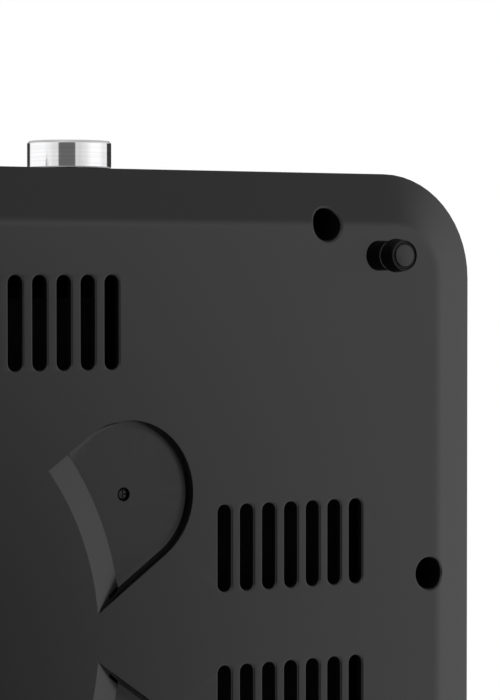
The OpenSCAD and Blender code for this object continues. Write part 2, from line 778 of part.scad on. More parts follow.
module clamp_nuts() {
    color("#9da1a5") for (s = BOTH) translate([s * plate_x, 0, nut_z]) difference() {
        cylinder(d = 1.85 * stud_d, h = nut_h, $fn = 6);
        translate([0, 0, -e]) cylinder(d = stud_d + 2 * play, h = nut_h + 2 * e);
    }
}

// Disc that sits between cover and clamp bar, with two terminals towards the body's middle
module thermal_cutout(side) {
    color("#d9d3c4") translate([side * plate_x, cutout_y, bar_top_z]) {
        cylinder(r = cutout_r, h = bar_drop);
        for (s = BOTH) translate([-side * (cutout_r - e), s * cutout_pin_y, bar_drop / 2])
            rotate([0, -90 * side, 0]) cylinder(r = pin_r, h = cutout_pin_l);
    }
}

module left_thermal_cutout() { thermal_cutout(-1); }
module right_thermal_cutout() { thermal_cutout(1); }

// ---- Controls ----

module regulator(side) {
    color("#e3dfd2") to_front(side * knob_x, control_z) difference() {
        union() {
            translate([-regulator_w / 2, -regulator_h / 2, -wall_depth - regulator_d])
                cube([regulator_w, regulator_h, regulator_d]);
            translate([0, 0, -wall_depth - e]) cylinder(d = bush_d, h = wall_depth + neck_out + e);
            for (s = BOTH) translate([s * tab_x - tab_w / 2, -tab_t / 2, -wall_depth - regulator_d - tab_l])
                cube([tab_w, tab_t, tab_l]);
        }
        translate([0, 0, -wall_depth - shaft_in - e]) cylinder(d = shaft_d + 2 * play, h = regulator_d);
        for (s = BOTH) translate([s * fixing_x, 0, -wall_depth - fixing_l])
            cylinder(d = fixing_d + 2 * play, h = fixing_l + e);
    }
}

module left_regulator() { regulator(-1); }
module right_regulator() { regulator(1); }

module regulator_screws() {
    color("#b9bcbf") for (s = BOTH) to_front(s * knob_x, control_z) for (f = BOTH)
        translate([f * fixing_x, 0, 0]) rotate([180, 0, 0])
            screw(fixing_d, 1.8 * fixing_d, 0.6 * fixing_d, fixing_l);
}

// Round outline with one flat, towards +Y
module flatted(d, flat) {
    difference() {
        circle(d = d);
        translate([-d, d / 2 - flat]) square([2 * d, d]);
    }
}

shaft_end = knob_reach - knob_wall - 1;
hub_back = neck_out + 0.6;

module control_shaft(side) {
    color("#c4c6c8") to_front(side * knob_x, control_z) {
        translate([0, 0, -wall_depth - shaft_in]) cylinder(d = shaft_d, h = shaft_in + wall_depth + hub_back);
        translate([0, 0, hub_back]) linear_extrude(shaft_end - hub_back) flatted(shaft_d, shaft_flat);
    }
}

module left_control_shaft() { control_shaft(-1); }
module right_control_shaft() { control_shaft(1); }

module knob_hub(side) {
    web_z = knob_reach - knob_wall - hub_web;
    color("#1f1f20") to_front(side * knob_x, control_z) difference() {
        union() {
            translate([0, 0, web_z]) cylinder(d = knob_d - 2 * knob_wall - 2 * play, h = hub_web);
            translate([0, 0, hub_back]) cylinder(d = hub_d, h = web_z - hub_back + e);
        }
        translate([0, 0, hub_back - e]) linear_extrude(shaft_end - hub_back + e + play)
            flatted(shaft_d + 2 * play, shaft_flat);
    }
}

module left_knob_hub() { knob_hub(-1); }
module right_knob_hub() { knob_hub(1); }

module knob(side) {
    r = knob_d / 2;
    inner_r = r - knob_wall;
    color("#d0d1d3") to_front(side * knob_x, control_z) difference() {
        rotate_extrude() polygon([
            [0, knob_reach - knob_wall], [inner_r, knob_reach - knob_wall], [inner_r, knob_gap],
            [r - knob_back_edge, knob_gap], [r, knob_gap + knob_back_edge], [r, knob_reach - knob_edge],
            [r - knob_edge, knob_reach], [0, knob_reach]]);
        translate([-marker_w / 2, marker_in, knob_reach - marker_t]) cube([marker_w, marker_l, marker_t + e]);
    }
}

module left_knob() { knob(-1); }
module right_knob() { knob(1); }

module knob_marker(side) {
    color("#e8e8e6") to_front(side * knob_x, control_z)
        translate([-marker_w / 2 + play, marker_in + play, knob_reach - marker_t])
            cube([marker_w - 2 * play, marker_l - 2 * play, marker_t]);
}

module left_knob_marker() { knob_marker(-1); }
module right_knob_marker() { knob_marker(1); }

module lamp_lens(side) {
    r = lamp_d / 2;
    color("#d9531e") to_front(side * lamp_x, control_z) rotate_extrude() polygon([
        [0, e - lamp_depth], [r, e - lamp_depth], [r, 0], [r + lens_flange, 0],
        [r + lens_flange, lens_flange_t], [r, 0.6 * lens_h], [0.6 * r, 0.9 * lens_h], [0, lens_h]]);
}

module left_lamp_lens() { lamp_lens(-1); }
module right_lamp_lens() { lamp_lens(1); }

module lamp_holder(side) {
    color("#cfc9b8") to_front(side * lamp_x, control_z) translate([0, 0, -sheet_t - lamp_depth]) {
        difference() {
            translate([0, 0, -holder_wall])
                cylinder(d = lamp_d + 2 * holder_wall, h = lamp_depth + holder_wall);
            cylinder(d = lamp_d + 2 * play, h = lamp_depth + e);
        }
        for (s = BOTH) translate([0, s * lamp_pin_y, -holder_wall - lamp_pin_l])
            cylinder(r = pin_r, h = lamp_pin_l);
    }
}

module left_lamp_holder() { lamp_holder(-1); }
module right_lamp_holder() { lamp_holder(1); }

// ---- Supply ----

// Grommet that clips round the edge of the skirt's hole; the cord enters through its bore
module cord_bush() {
    r = cord_hole_d / 2;
    seat_r = r + bush_wall;
    flange_r = seat_r + bush_flange;
    color("#1d1d1e") to_rear() rotate_extrude() polygon([
        [r, -sheet_t - bush_inside], [flange_r - bush_edge, -sheet_t - bush_inside], [flange_r, -sheet_t],
        [seat_r, -sheet_t], [seat_r, 0], [flange_r, 0], [flange_r, bush_flange_t],
        [seat_r, bush_flange_t + e], [r + bush_tip + bush_edge, cord_bush_reach - bush_edge],
        [r + bush_tip, cord_bush_reach], [r, cord_bush_reach]]);
}

module terminal_block() {
    color("#ece8dc") difference() {
        translate([cord_bush_x - block_w / 2, block_y - block_d / 2, block_z])
            cube([block_w, block_d, block_h]);
        for (p = POLES) translate([cord_bush_x + p, block_y, 0]) {
            translate([0, 0, pole_top_z]) cylinder(d = pole_screw_d + 2 * play, h = block_h);
            for (s = BOTH) translate([0, s * block_d / 2, pole_z]) rotate([90 * s, 0, 0])
                cylinder(d = wire_d + 2 * skin_gap, h = pole_depth);
        }
        for (s = BOTH) translate([cord_bush_x + s * block_screw_x, block_y, 0]) {
            cylinder(d = block_screw_d + screw_gap, h = block_z + block_h + e);
            translate([0, 0, block_z + block_foot_t])
                cylinder(d = 2 * block_screw_d + screw_gap, h = block_h);
        }
    }
}

module terminal_screws() {
    color("#b08d45") for (p = POLES) translate([cord_bush_x + p, block_y, pole_top_z]) difference() {
        cylinder(d = pole_screw_d, h = pole_screw_h);
        translate([-pole_screw_d, -0.1 * pole_screw_d, pole_screw_h - e])
            cube([2 * pole_screw_d, 0.2 * pole_screw_d, 2 * e]);
    }
}

module block_screws() {
    screw_l = block_foot_t + block_boss_h - fit_gap;
    color("#9da1a5") for (s = BOTH)
        translate([cord_bush_x + s * block_screw_x, block_y, block_z + block_foot_t]) rotate([180, 0, 0])
            screw(block_screw_d, 2 * block_screw_d, 0.75 * block_screw_d, screw_l);
}

module earth_stud() {
    color("#b08d45") translate([cord_bush_x, earth_y, post_z]) {
        cylinder(d = earth_d, h = earth_h);
        translate([0, 0, sheet_t]) cylinder(d = 2 * earth_d, h = 0.8 * earth_d, $fn = 6);
    }
}

// First points of a wire: in the front of the terminal block, off it, and over the shield's edge
function from_pole(p) = let (x = cord_bush_x + p, front = block_y - block_d / 2) [
    [x, front + pole_depth, pole_z], [x, front, pole_z], [x, front - wire_d, pole_z + wire_d / 3],
    [x, shield_d / 2 - sheet_t / 2, over_edge_z]];

module supply_wiring() {
    top_z = post_z + earth_h;
    color("#4b9b4b") wire(concat(from_pole(0), [[cord_bush_x, earth_y + earth_d, top_z + 12],
        [cord_bush_x, earth_y, top_z + 6], [cord_bush_x, earth_y, top_z]]));
}

// Wires of one plate: terminal block to regulator, regulator to coil, block to cut-out, cut-out to coil
module plate_wiring(side, d) {
    tab_y = -skirt_y + wall_depth + regulator_d + tab_l;
    tab_in = side * (knob_x - tab_x);
    tab_out = side * (knob_x + tab_x);
    lane_x = side * (plate_x - bar_w / 2 - 6);
    lead_out = [side * (plate_x - coil_out_r(d)), 0, lead_end_z];
    lead_in = [side * (plate_x - coil_in_r), 0, lead_end_z];
    pins = [side * (plate_x - cutout_r - cutout_pin_l + e), cutout_y, bar_top_z + bar_drop / 2];
    pin_up = [0, cutout_pin_y, 0];
    away = [-side * lead_run, 0, 0];
    low = [0, 0, -lead_drop];
    color("#b5b8bb") {
        wire(concat(from_pole(side * POLES[4]), [[side * (block_w + lead_drop), earth_y, wire_z],
            [lane_x, cutout_y, wire_z], [lane_x, -shield_d / 2 + 4 * lead_run, wire_z],
            [tab_out, tab_y + 2 * lead_drop, over_edge_z], [tab_out, tab_y + lead_run, control_z],
            [tab_out, tab_y, control_z]]));
        wire([[tab_in, tab_y, control_z], [tab_in, tab_y + lead_run, control_z],
            [tab_in - side * lead_run, tab_y + 3 * lead_run, over_edge_z], lead_out + low - [0, cutout_y, 0],
            lead_out + low - [0, lead_drop / 2, 0], lead_out + low / 2, lead_out]);
        wire(concat(from_pole(side * POLES[3]), [
            [side * 0.75 * block_w, earth_y - lead_run, wire_z + lead_run],
            pins + 4 * away + low / 2 + [0, 2 * lead_run, 0], pins + away + pin_up, pins + pin_up]));
        wire([pins - pin_up, pins + away - pin_up, lead_in + [away[0], 2 * lead_run, -lead_run],
            lead_in + low + [0, 2, 0], lead_in + low / 2, lead_in]);
    }
}

module left_wiring() { plate_wiring(-1, left_plate_d); }
module right_wiring() { plate_wiring(1, right_plate_d); }

// Two short wires from each lamp to its regulator
module lamp_wiring() {
    y = -skirt_y + sheet_t + lamp_depth + holder_wall + lamp_pin_l;
    near_x = knob_x - regulator_w / 2;
    color("#c9b458") for (s = BOTH, f = BOTH) let (z = control_z + f * lamp_pin_y) wire([
        [s * lamp_x, y, z], [s * lamp_x, y + lamp_pin_l, z],
        [s * (lamp_x + 0.2 * near_x), y + 2 * lamp_pin_l, z], [s * 0.85 * near_x, y + lamp_pin_l, z],
        [s * (near_x - lamp_pin_l), y + lamp_pin_l, z], [s * near_x, y + lamp_pin_l, z]]);
}

base_pan();
foot_front_left();
foot_front_right();
foot_rear_left();
foot_rear_right();
top_housing();
mounting_brackets();
base_screws();
heat_shield();
shield_screws();
left_hotplate();
right_hotplate();
left_trim_ring();
right_trim_ring();
left_heating_coil();
right_heating_coil();
left_insulation_pad();
right_insulation_pad();
left_plate_cover();
right_plate_cover();
left_lead_beads();
right_lead_beads();
left_centre_stud();
right_centre_stud();
left_clamp_bar();
right_clamp_bar();
clamp_nuts();
left_thermal_cutout();
right_thermal_cutout();
left_regulator();
right_regulator();
regulator_screws();
left_control_shaft();
right_control_shaft();
left_knob_hub();
right_knob_hub();
left_knob();
right_knob();
left_knob_marker();
right_knob_marker();
left_lamp_lens();
right_lamp_lens();
left_lamp_holder();
right_lamp_holder();
cord_bush();
terminal_block();
terminal_screws();
block_screws();
earth_stud();
supply_wiring();
left_wiring();
right_wiring();
lamp_wiring();
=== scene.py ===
"""Looks of a two-plate table-top hot plate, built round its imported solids.

The origin lies under the middle of the body, on the table. +X is to the right, -Y to the front
and +Z up. Sizes in the classes are in millimetres; meshes are in metres.
"""

from __future__ import annotations

import logging
import math
import sys
from dataclasses import dataclass, field
from enum import Enum
from typing import Sequence

import bmesh
import bpy
from mathutils import Matrix, Vector

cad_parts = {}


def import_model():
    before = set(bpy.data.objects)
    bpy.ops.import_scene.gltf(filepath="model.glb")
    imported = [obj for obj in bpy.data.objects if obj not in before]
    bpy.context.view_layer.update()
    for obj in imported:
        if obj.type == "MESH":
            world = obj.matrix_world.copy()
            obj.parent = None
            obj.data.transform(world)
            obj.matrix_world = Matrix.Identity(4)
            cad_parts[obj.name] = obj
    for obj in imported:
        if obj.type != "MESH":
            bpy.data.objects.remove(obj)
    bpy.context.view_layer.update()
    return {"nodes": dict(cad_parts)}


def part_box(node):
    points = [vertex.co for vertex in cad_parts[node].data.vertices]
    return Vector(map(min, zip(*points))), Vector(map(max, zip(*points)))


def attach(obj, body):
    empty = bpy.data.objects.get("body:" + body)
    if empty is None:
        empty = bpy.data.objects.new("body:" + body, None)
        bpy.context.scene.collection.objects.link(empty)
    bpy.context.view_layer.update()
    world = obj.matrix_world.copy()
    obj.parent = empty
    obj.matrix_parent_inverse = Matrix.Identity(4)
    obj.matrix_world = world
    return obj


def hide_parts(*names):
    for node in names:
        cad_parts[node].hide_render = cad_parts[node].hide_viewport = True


LOG = logging.getLogger("hot_plate")
MM = 0.001
ON_AXIS = 1e-6
WELD_GAP = 2e-6
SHADING_WEIGHT = 80
TONE_SPAN = (0.3, 0.7)
GLOSS_SPAN = (0.25, 0.75)
LEAST_ROUGHNESS = 0.02
QUARTERS = ((-1, -1), (-1, 1), (1, -1), (1, 1))

Corner = tuple[float, float, float]
Profile = list[tuple[float, float]]
Piece = bpy.types.Object
Node = bpy.types.Node
Socket = bpy.types.NodeSocket
Material = bpy.types.Material


class Side(Enum):
    """The two halves of the appliance, with the sign of their X."""

    LEFT = -1
    RIGHT = 1

    @property
    def word(self) -> str:
        """Name of the side, as the solids' names have it."""
        return self.name.lower()

    @property
    def control(self) -> str:
        """Name of the body that turns with this side's knob."""
        return f"{self.word}_control"


class Lay(Enum):
    """Direction in which the marks of a finish run."""

    EVEN = "even"
    BRUSHED = "brushed"
    TURNED = "turned"


class Axis(Enum):
    """Axis of a turned finish."""

    Y = "Y"
    Z = "Z"


# ---- Shapes ----


def rounded(corners: Sequence[Corner], closed: bool, steps: int = 4) -> Profile:
    """Rounds the corners of an outline.

    Args:
        corners: Points as (radius from the axis, height, fillet radius).
        closed: True if the last corner joins the first.
        steps: Facets of each fillet.

    Returns:
        The outline's points.
    """
    outline: Profile = []
    last = len(corners) - 1
    for i, (x, y, fillet) in enumerate(corners):
        if fillet <= 0 or (not closed and i in (0, last)):
            outline.append((x, y))
            continue
        here = Vector((x, y))
        back = (Vector(corners[i - 1][:2]) - here).normalized()
        ahead = (Vector(corners[(i + 1) % len(corners)][:2]) - here).normalized()
        half = back.angle(ahead) / 2
        centre = here + (back + ahead).normalized() * (fillet / math.sin(half))
        run = fillet / math.tan(half)
        start, end = here + back * run - centre, here + ahead * run - centre
        sweep = math.pi - 2 * half
        for k in range(steps + 1):
            t = k / steps
            arm = (start * math.sin((1 - t) * sweep) + end * math.sin(t * sweep)) / math.sin(sweep)
            outline.append(tuple(centre + arm))
    return outline


def link(name: str, shape: bmesh.types.BMesh) -> Piece:
    """Makes an object of a shape and frees the shape.

    Args:
        name: Name of the piece.
        shape: The shape, in metres and in place.

    Returns:
        The new object, at the origin.
    """
    mesh = bpy.data.meshes.new(name)
    shape.to_mesh(mesh)
    shape.free()
    piece = bpy.data.objects.new(name, mesh)
    bpy.context.scene.collection.objects.link(piece)
    return piece


def lathe(name: str, outline: Profile, place: Matrix, closed: bool = False, facets: int = 128) -> Piece:
    """Turns an outline round the Z axis.

    Args:
        name: Name of the piece.
        outline: Points as (radius, height), in millimetres.
        place: Where the piece goes.
        closed: True for a ring, whose outline joins up; otherwise it starts and ends on the axis.
        facets: Facets round the axis.

    Returns:
        The piece, with its place in its mesh.
    """
    shape = bmesh.new()
    rings = []
    for radius, height in outline:
        count = facets if radius > ON_AXIS else 1
        turns = [2 * math.pi * k / facets for k in range(count)]
        rings.append([
            shape.verts.new((radius * MM * math.cos(a), radius * MM * math.sin(a), height * MM)) for a in turns
        ])
    for low, high in zip(rings, rings[1:] + (rings[:1] if closed else [])):
        for k in range(facets):
            loop = (low[k % len(low)], low[(k + 1) % len(low)], high[(k + 1) % len(high)], high[k % len(high)])
            face = list(dict.fromkeys(loop))
            if len(face) > 2:
                shape.faces.new(face)
    bmesh.ops.recalc_face_normals(shape, faces=shape.faces)
    bmesh.ops.transform(shape, matrix=place, verts=shape.verts)
    return link(name, shape)


def upright(x: float, y: float, z: float = 0.0) -> Matrix:
    """Place of a shape that stands upright, in millimetres."""
    return Matrix.Translation(Vector((x, y, z)) * MM)


def facing(x: float, y: float, z: float, turn: float) -> Matrix:
    """Place of a shape turned about X, so that its +Z points to the front (90) or the rear (-90)."""
    return upright(x, y, z) @ Matrix.Rotation(math.radians(turn), 4, "X")


def centre_of(node: str) -> Vector:
    """Middle of a solid's box, in millimetres."""
    low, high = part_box(node)
    return (low + high) / 2 / MM


def stacked(name: str, layers: Sequence[Sequence[Corner]]) -> Piece:
    """Closes a stack of outlines with the same number of points into a solid.

    Args:
        name: Name of the solid.
        layers: Outlines from one end to the other, in millimetres.

    Returns:
        The solid.
    """
    shape = bmesh.new()
    rings = [[shape.verts.new(Vector(p) * MM) for p in layer] for layer in layers]
    for low, high in zip(rings, rings[1:]):
        for k in range(len(low)):
            m = (k + 1) % len(low)
            shape.faces.new((low[k], low[m], high[m], high[k]))
    shape.faces.new(list(reversed(rings[0])))
    shape.faces.new(rings[-1])
    bmesh.ops.recalc_face_normals(shape, faces=shape.faces)
    return link(name, shape)


def moved_to_circle(point: Vector, along: Vector, radius: float) -> Vector:
    """Moves a point along a line to where the line first meets a circle round the origin.

    Args:
        point: The point.
        along: Unit vector along the line.
        radius: Radius of the circle.

    Returns:
        The place on the circle.
    """
    run = -point.dot(along) - math.sqrt(point.dot(along) ** 2 - point.dot(point) + radius**2)
    return point + along * run


def merged_copy(node: str, name: str) -> Piece:
    """Copies a solid's mesh and joins its loose triangles.

    Args:
        node: The solid.
        name: Name of the copy.

    Returns:
        The copy, as an object of its own.
    """
    shape = bmesh.new()
    shape.from_mesh(bpy.data.objects[node].data)
    bmesh.ops.remove_doubles(shape, verts=shape.verts, dist=WELD_GAP)
    piece = link(name, shape)
    for leftover in ("custom_normal", "sharp_face", "sharp_edge"):
        if leftover in piece.data.attributes:
            piece.data.attributes.remove(piece.data.attributes[leftover])
    return piece


def evaluated(piece: Piece) -> None:
    """Turns what a piece's modifiers make into its own plain mesh, and removes the modifiers."""
    graph = bpy.context.evaluated_depsgraph_get()
    mesh = bpy.data.meshes.new_from_object(piece.evaluated_get(graph))
    piece.modifiers.clear()
    piece.data = mesh


def carve(piece: Piece, tool: Piece, how: str = "DIFFERENCE") -> None:
    """Cuts a tool's shape from a piece, or joins the two, and removes the tool.

    Args:
        piece: The piece.
        tool: A closed shape.
        how: DIFFERENCE or UNION.
    """
    cut = piece.modifiers.new("cut", "BOOLEAN")
    cut.operation = how
    cut.solver = "MANIFOLD"
    cut.object = tool
    evaluated(piece)
    bpy.data.objects.remove(tool)


# ---- Node trees ----


class NodeTable:
    """A small bench for node trees: adds nodes and joins their sockets."""

    def __init__(self, tree: bpy.types.NodeTree) -> None:
        """Takes the tree to work on."""
        self.tree = tree

    def add(self, kind: str, settings: dict[str, object] | None = None, **inputs: object) -> Node:
        """Adds a node.

        Args:
            kind: The node's type.
            settings: Its properties.
            **inputs: Values or sockets by input name, with underscores for spaces.

        Returns:
            The node.
        """
        node = self.tree.nodes.new(kind)
        for key, value in (settings or {}).items():
            setattr(node, key, value)
        for key, value in inputs.items():
            self.feed(node.inputs[key.replace("_", " ")], value)
        return node

    def feed(self, socket: Socket, value: object) -> None:
        """Links a socket to an input, or sets the input's value."""
        if isinstance(value, Socket):
            self.tree.links.new(value, socket)
        else:
            socket.default_value = value

    def work(self, how: str, *values: object, vector: bool = False) -> Socket:
        """Works out a number, or a vector, from others.

        Args:
            how: The operation.
            *values: Values or sockets, in the order of the node's inputs.
            vector: True to work on vectors.

        Returns:
            The result.
        """
        node = self.add("ShaderNodeVectorMath" if vector else "ShaderNodeMath", {"operation": how})
        for socket, value in zip(node.inputs, values):
            self.feed(socket, value)
        return node.outputs["Value" if how in ("DOT_PRODUCT", "LENGTH") else 0]

    def scaled(self, vector: object, factor: object) -> Socket:
        """Multiplies a vector by a number.

        Args:
            vector: The vector, as a value or a socket.
            factor: The number, as a value or a socket.

        Returns:
            The product.
        """
        node = self.add("ShaderNodeVectorMath", {"operation": "SCALE"}, Scale=factor)
        self.feed(node.inputs[0], vector)
        return node.outputs[0]

    def remap(
        self, value: Socket, start: float, end: float, low: float = 0.0, high: float = 1.0,
        smooth: bool = False,
    ) -> Socket:
        """Maps one span of a value onto another.

        Args:
            value: The value.
            start: Start of its span.
            end: End of its span.
            low: Result at the start.
            high: Result at the end.
            smooth: True to ease in and out.

        Returns:
            The result.
        """
        settings = {"interpolation_type": "SMOOTHSTEP"} if smooth else {}
        span = {"From_Min": start, "From_Max": end, "To_Min": low, "To_Max": high}
        return self.add("ShaderNodeMapRange", settings, Value=value, **span).outputs[0]

    def choose(self, share: Socket, first: Socket, second: Socket) -> Socket:
        """Takes one of two shaders.

        Args:
            share: 0 for the first shader, 1 for the second.
            first: The first shader.
            second: The second shader.

        Returns:
            The shader taken.
        """
        node = self.add("ShaderNodeMixShader", Fac=share)
        self.feed(node.inputs[1], first)
        self.feed(node.inputs[2], second)
        return node.outputs[0]


class Repeater:
    """Places copies of a template by geometry nodes and hands back one plain mesh."""

    def __init__(self, name: str, sockets: dict[str, str]) -> None:
        """Starts a tree with named inputs.

        Args:
            name: Name of the tree and of the piece.
            sockets: Type of each input by its name.
        """
        self.name = name
        self.tree = bpy.data.node_groups.new(name, "GeometryNodeTree")
        face = self.tree.interface
        face.new_socket("Geometry", in_out="INPUT", socket_type="NodeSocketGeometry")
        self.named = {
            name: face.new_socket(name, in_out="INPUT", socket_type=kind).identifier
            for name, kind in sockets.items()
        }
        face.new_socket("Geometry", in_out="OUTPUT", socket_type="NodeSocketGeometry")
        self.table = NodeTable(self.tree)
        self.given = self.table.add("NodeGroupInput")

    def close(self, geometry: Socket, finish: Socket) -> None:
        """Ends the tree in Realize Instances and Set Material."""
        real = self.table.add("GeometryNodeRealizeInstances", Geometry=geometry)
        dressed = self.table.add("GeometryNodeSetMaterial", Geometry=real.outputs[0], Material=finish)
        end = self.table.add("NodeGroupOutput")
        self.tree.links.new(dressed.outputs[0], end.inputs[0])

    def make(self, points: Sequence[Sequence[float]], values: dict[str, object], place: Matrix) -> Piece:
        """Runs the tree.

        Args:
            points: Points that it starts from, in millimetres.
            values: Value of each named input.
            place: Where the result goes.

        Returns:
            A plain mesh object at the origin.
        """
        shape = bmesh.new()
        for point in points:
            shape.verts.new(Vector(point) * MM)
        piece = link(self.name, shape)
        stage = piece.modifiers.new(self.name, "NODES")
        stage.node_group = self.tree
        for name, value in values.items():
            stage[self.named[name]] = value
        evaluated(piece)
        piece.data.transform(place)
        return piece


def spread_tree(name: str) -> Repeater:
    """Tree that puts a template on every point, each turned a little differently about Z."""
    kinds = {
        "Template": "NodeSocketObject", "Turn": "NodeSocketFloat", "Seed": "NodeSocketInt",
        "Finish": "NodeSocketMaterial",
    }
    work = Repeater(name, kinds)
    given = work.given.outputs
    template = work.table.add("GeometryNodeObjectInfo", Object=given["Template"])
    turn = work.table.add("FunctionNodeRandomValue", {"data_type": "FLOAT"})
    floats = [s for s in turn.inputs if s.type == "VALUE"]
    work.tree.links.new(given["Turn"], floats[1])
    work.tree.links.new(given["Seed"], turn.inputs["Seed"])
    value = next(s for s in turn.outputs if s.type == "VALUE" and s.enabled)
    angle = work.table.add("ShaderNodeCombineXYZ", Z=value)
    copies = work.table.add(
        "GeometryNodeInstanceOnPoints", Points=given["Geometry"],
        Instance=template.outputs["Geometry"], Rotation=angle.outputs[0],
    )
    work.close(copies.outputs[0], given["Finish"])
    return work


def fan_tree(name: str) -> Repeater:
    """Tree that fans copies of a template out round Z, each a little larger than the one before."""
    kinds = {
        "Template": "NodeSocketObject", "Start": "NodeSocketFloat", "Step": "NodeSocketFloat",
        "Growth": "NodeSocketFloat", "Finish": "NodeSocketMaterial",
    }
    work = Repeater(name, kinds)
    given = work.given.outputs
    template = work.table.add("GeometryNodeObjectInfo", Object=given["Template"])
    index = work.table.add("GeometryNodeInputIndex").outputs[0]
    angle = work.table.work("MULTIPLY_ADD", index, given["Step"], given["Start"])
    size = work.table.work("MULTIPLY_ADD", index, given["Growth"], 1.0)
    turned = work.table.add("ShaderNodeCombineXYZ", Z=angle)
    grown = work.table.add("ShaderNodeCombineXYZ", X=size, Y=1.0, Z=1.0)
    copies = work.table.add(
        "GeometryNodeInstanceOnPoints", Points=given["Geometry"], Instance=template.outputs["Geometry"],
        Rotation=turned.outputs[0], Scale=grown.outputs[0],
    )
    work.close(copies.outputs[0], given["Finish"])
    return work


# ---- Finishes ----


@dataclass(frozen=True)
class Finish:
    """A surface finish with a fine lay, a slow change of tone and a matching change of gloss, and, where
    inside is under 1, a painted shade on faces that look inwards.

    Scales are in marks per metre, and relief is the height of the marks in metres.
    """

    name: str
    colour: tuple[float, float, float]
    roughness: float
    metallic: float = 0.0
    specular: float = 0.5
    coat: float = 0.0
    transmission: float = 0.0
    lay: Lay = Lay.EVEN
    axis: Axis = Axis.Z
    grain: float = 1400.0
    relief: float = 0.00001
    stretch: float = 0.015
    tone: float = 0.08
    mottle: float = 14.0
    gloss_change: float = 0.05
    streak_tone: float = 0.0
    # painted shade: share of the colour kept by faces that look inwards, standing in for the shade inside a
    # shell
    inside: float = 1.0

    def build(self, centre: Vector | None = None) -> Material:
        """Builds the material.

        Args:
            centre: Middle of a turned finish, in millimetres.

        Returns:
            The material.
        """
        material = bpy.data.materials.new(self.name)
        material.use_nodes = True
        table = NodeTable(material.node_tree)
        shader = material.node_tree.nodes["Principled BSDF"]
        place = table.add("ShaderNodeTexCoord").outputs["Object"]
        lay = self.lay_vector(table, place, centre)
        marks = table.add("ShaderNodeTexNoise", Vector=lay, Scale=1.0, Detail=3.0, Roughness=0.6).outputs[0]
        cloud = table.add("ShaderNodeTexNoise", Vector=place, Scale=self.mottle, Detail=4.0, Roughness=0.55)
        strength = table.work(
            "MULTIPLY",
            table.remap(cloud.outputs[0], *TONE_SPAN, 1 - self.tone, 1 + self.tone),
            table.remap(marks, *TONE_SPAN, 1 - self.streak_tone, 1 + self.streak_tone),
        )
        # painted shade: faces that look inwards, towards the object's middle, are darkened
        if self.inside < 1:
            strength = table.work("MULTIPLY", strength, self.inside_share(table, place))
        low, high = self.roughness - self.gloss_change, self.roughness + self.gloss_change
        bump = table.add("ShaderNodeBump", Strength=0.6, Distance=self.relief, Height=marks)
        for key, value in (
            ("Metallic", self.metallic), ("Specular IOR Level", self.specular), ("Coat Weight", self.coat),
            ("Transmission Weight", self.transmission), ("Base Color", table.scaled(self.colour, strength)),
            ("Roughness", table.remap(marks, *GLOSS_SPAN, max(low, LEAST_ROUGHNESS), high)),
            ("Normal", bump.outputs[0]),
        ):
            table.feed(shader.inputs[key], value)
        return material

    def inside_share(self, table: NodeTable, place: Socket) -> Socket:
        """Share of the colour that a sheet's face keeps: less where it looks inwards, a painted shade for the
        inside of a shell.

        Args:
            table: The material's nodes.
            place: Object coordinates.

        Returns:
            The share.
        """
        normal = table.add("ShaderNodeNewGeometry").outputs["Normal"]
        outwards = table.work("DOT_PRODUCT", normal, place, vector=True)
        return table.remap(outwards, -0.001, 0.001, self.inside, 1.0)

    def lay_vector(self, table: NodeTable, place: Socket, centre: Vector | None) -> Socket:
        """Coordinates of the marks: even, drawn out along X, or running round an axis.

        Args:
            table: The material's nodes.
            place: Object coordinates.
            centre: Middle of a turned finish, in millimetres.

        Returns:
            The socket that holds them.
        """
        if self.lay is not Lay.TURNED:
            along = self.stretch if self.lay is Lay.BRUSHED else 1.0
            scale = (self.grain * along, self.grain, self.grain)
            return table.add("ShaderNodeMapping", Vector=place, Scale=scale).outputs[0]
        middle = (centre or Vector()) * MM
        turn = (math.radians(90), 0, 0) if self.axis is Axis.Y else (0, 0, 0)
        moved = table.add("ShaderNodeMapping", Vector=place, Location=tuple(-middle)).outputs[0]
        turned = table.add("ShaderNodeMapping", Vector=moved, Rotation=turn).outputs[0]
        x, y, z = table.add("ShaderNodeSeparateXYZ", Vector=turned).outputs
        flat = table.add("ShaderNodeCombineXYZ", X=x, Y=y).outputs[0]
        slow = table.add("ShaderNodeSeparateXYZ", Vector=table.scaled(flat, self.stretch)).outputs
        across = table.work("ADD", table.work("LENGTH", flat, vector=True), slow[0])
        along = table.work("ADD", z, slow[1])
        lines = table.add("ShaderNodeCombineXYZ", X=across, Y=along).outputs[0]
        return table.add("ShaderNodeMapping", Vector=lines, Scale=(self.grain,) * 3).outputs[0]


SATIN_SHELL = Finish(
    "satin_black_shell", (0.0042, 0.0043, 0.0045), 0.23, grain=2600, relief=0.000012, tone=0.12,
    gloss_change=0.04,
)
FOOT_RUBBER = Finish("black_foot_rubber", (0.0014, 0.0014, 0.0014), 0.4, specular=0.06, grain=2200)
FOOT_INSET = Finish(
    "hard_foot_inset", (0.004, 0.004, 0.004), 0.26, specular=0.44, grain=2200, gloss_change=0.04,
)
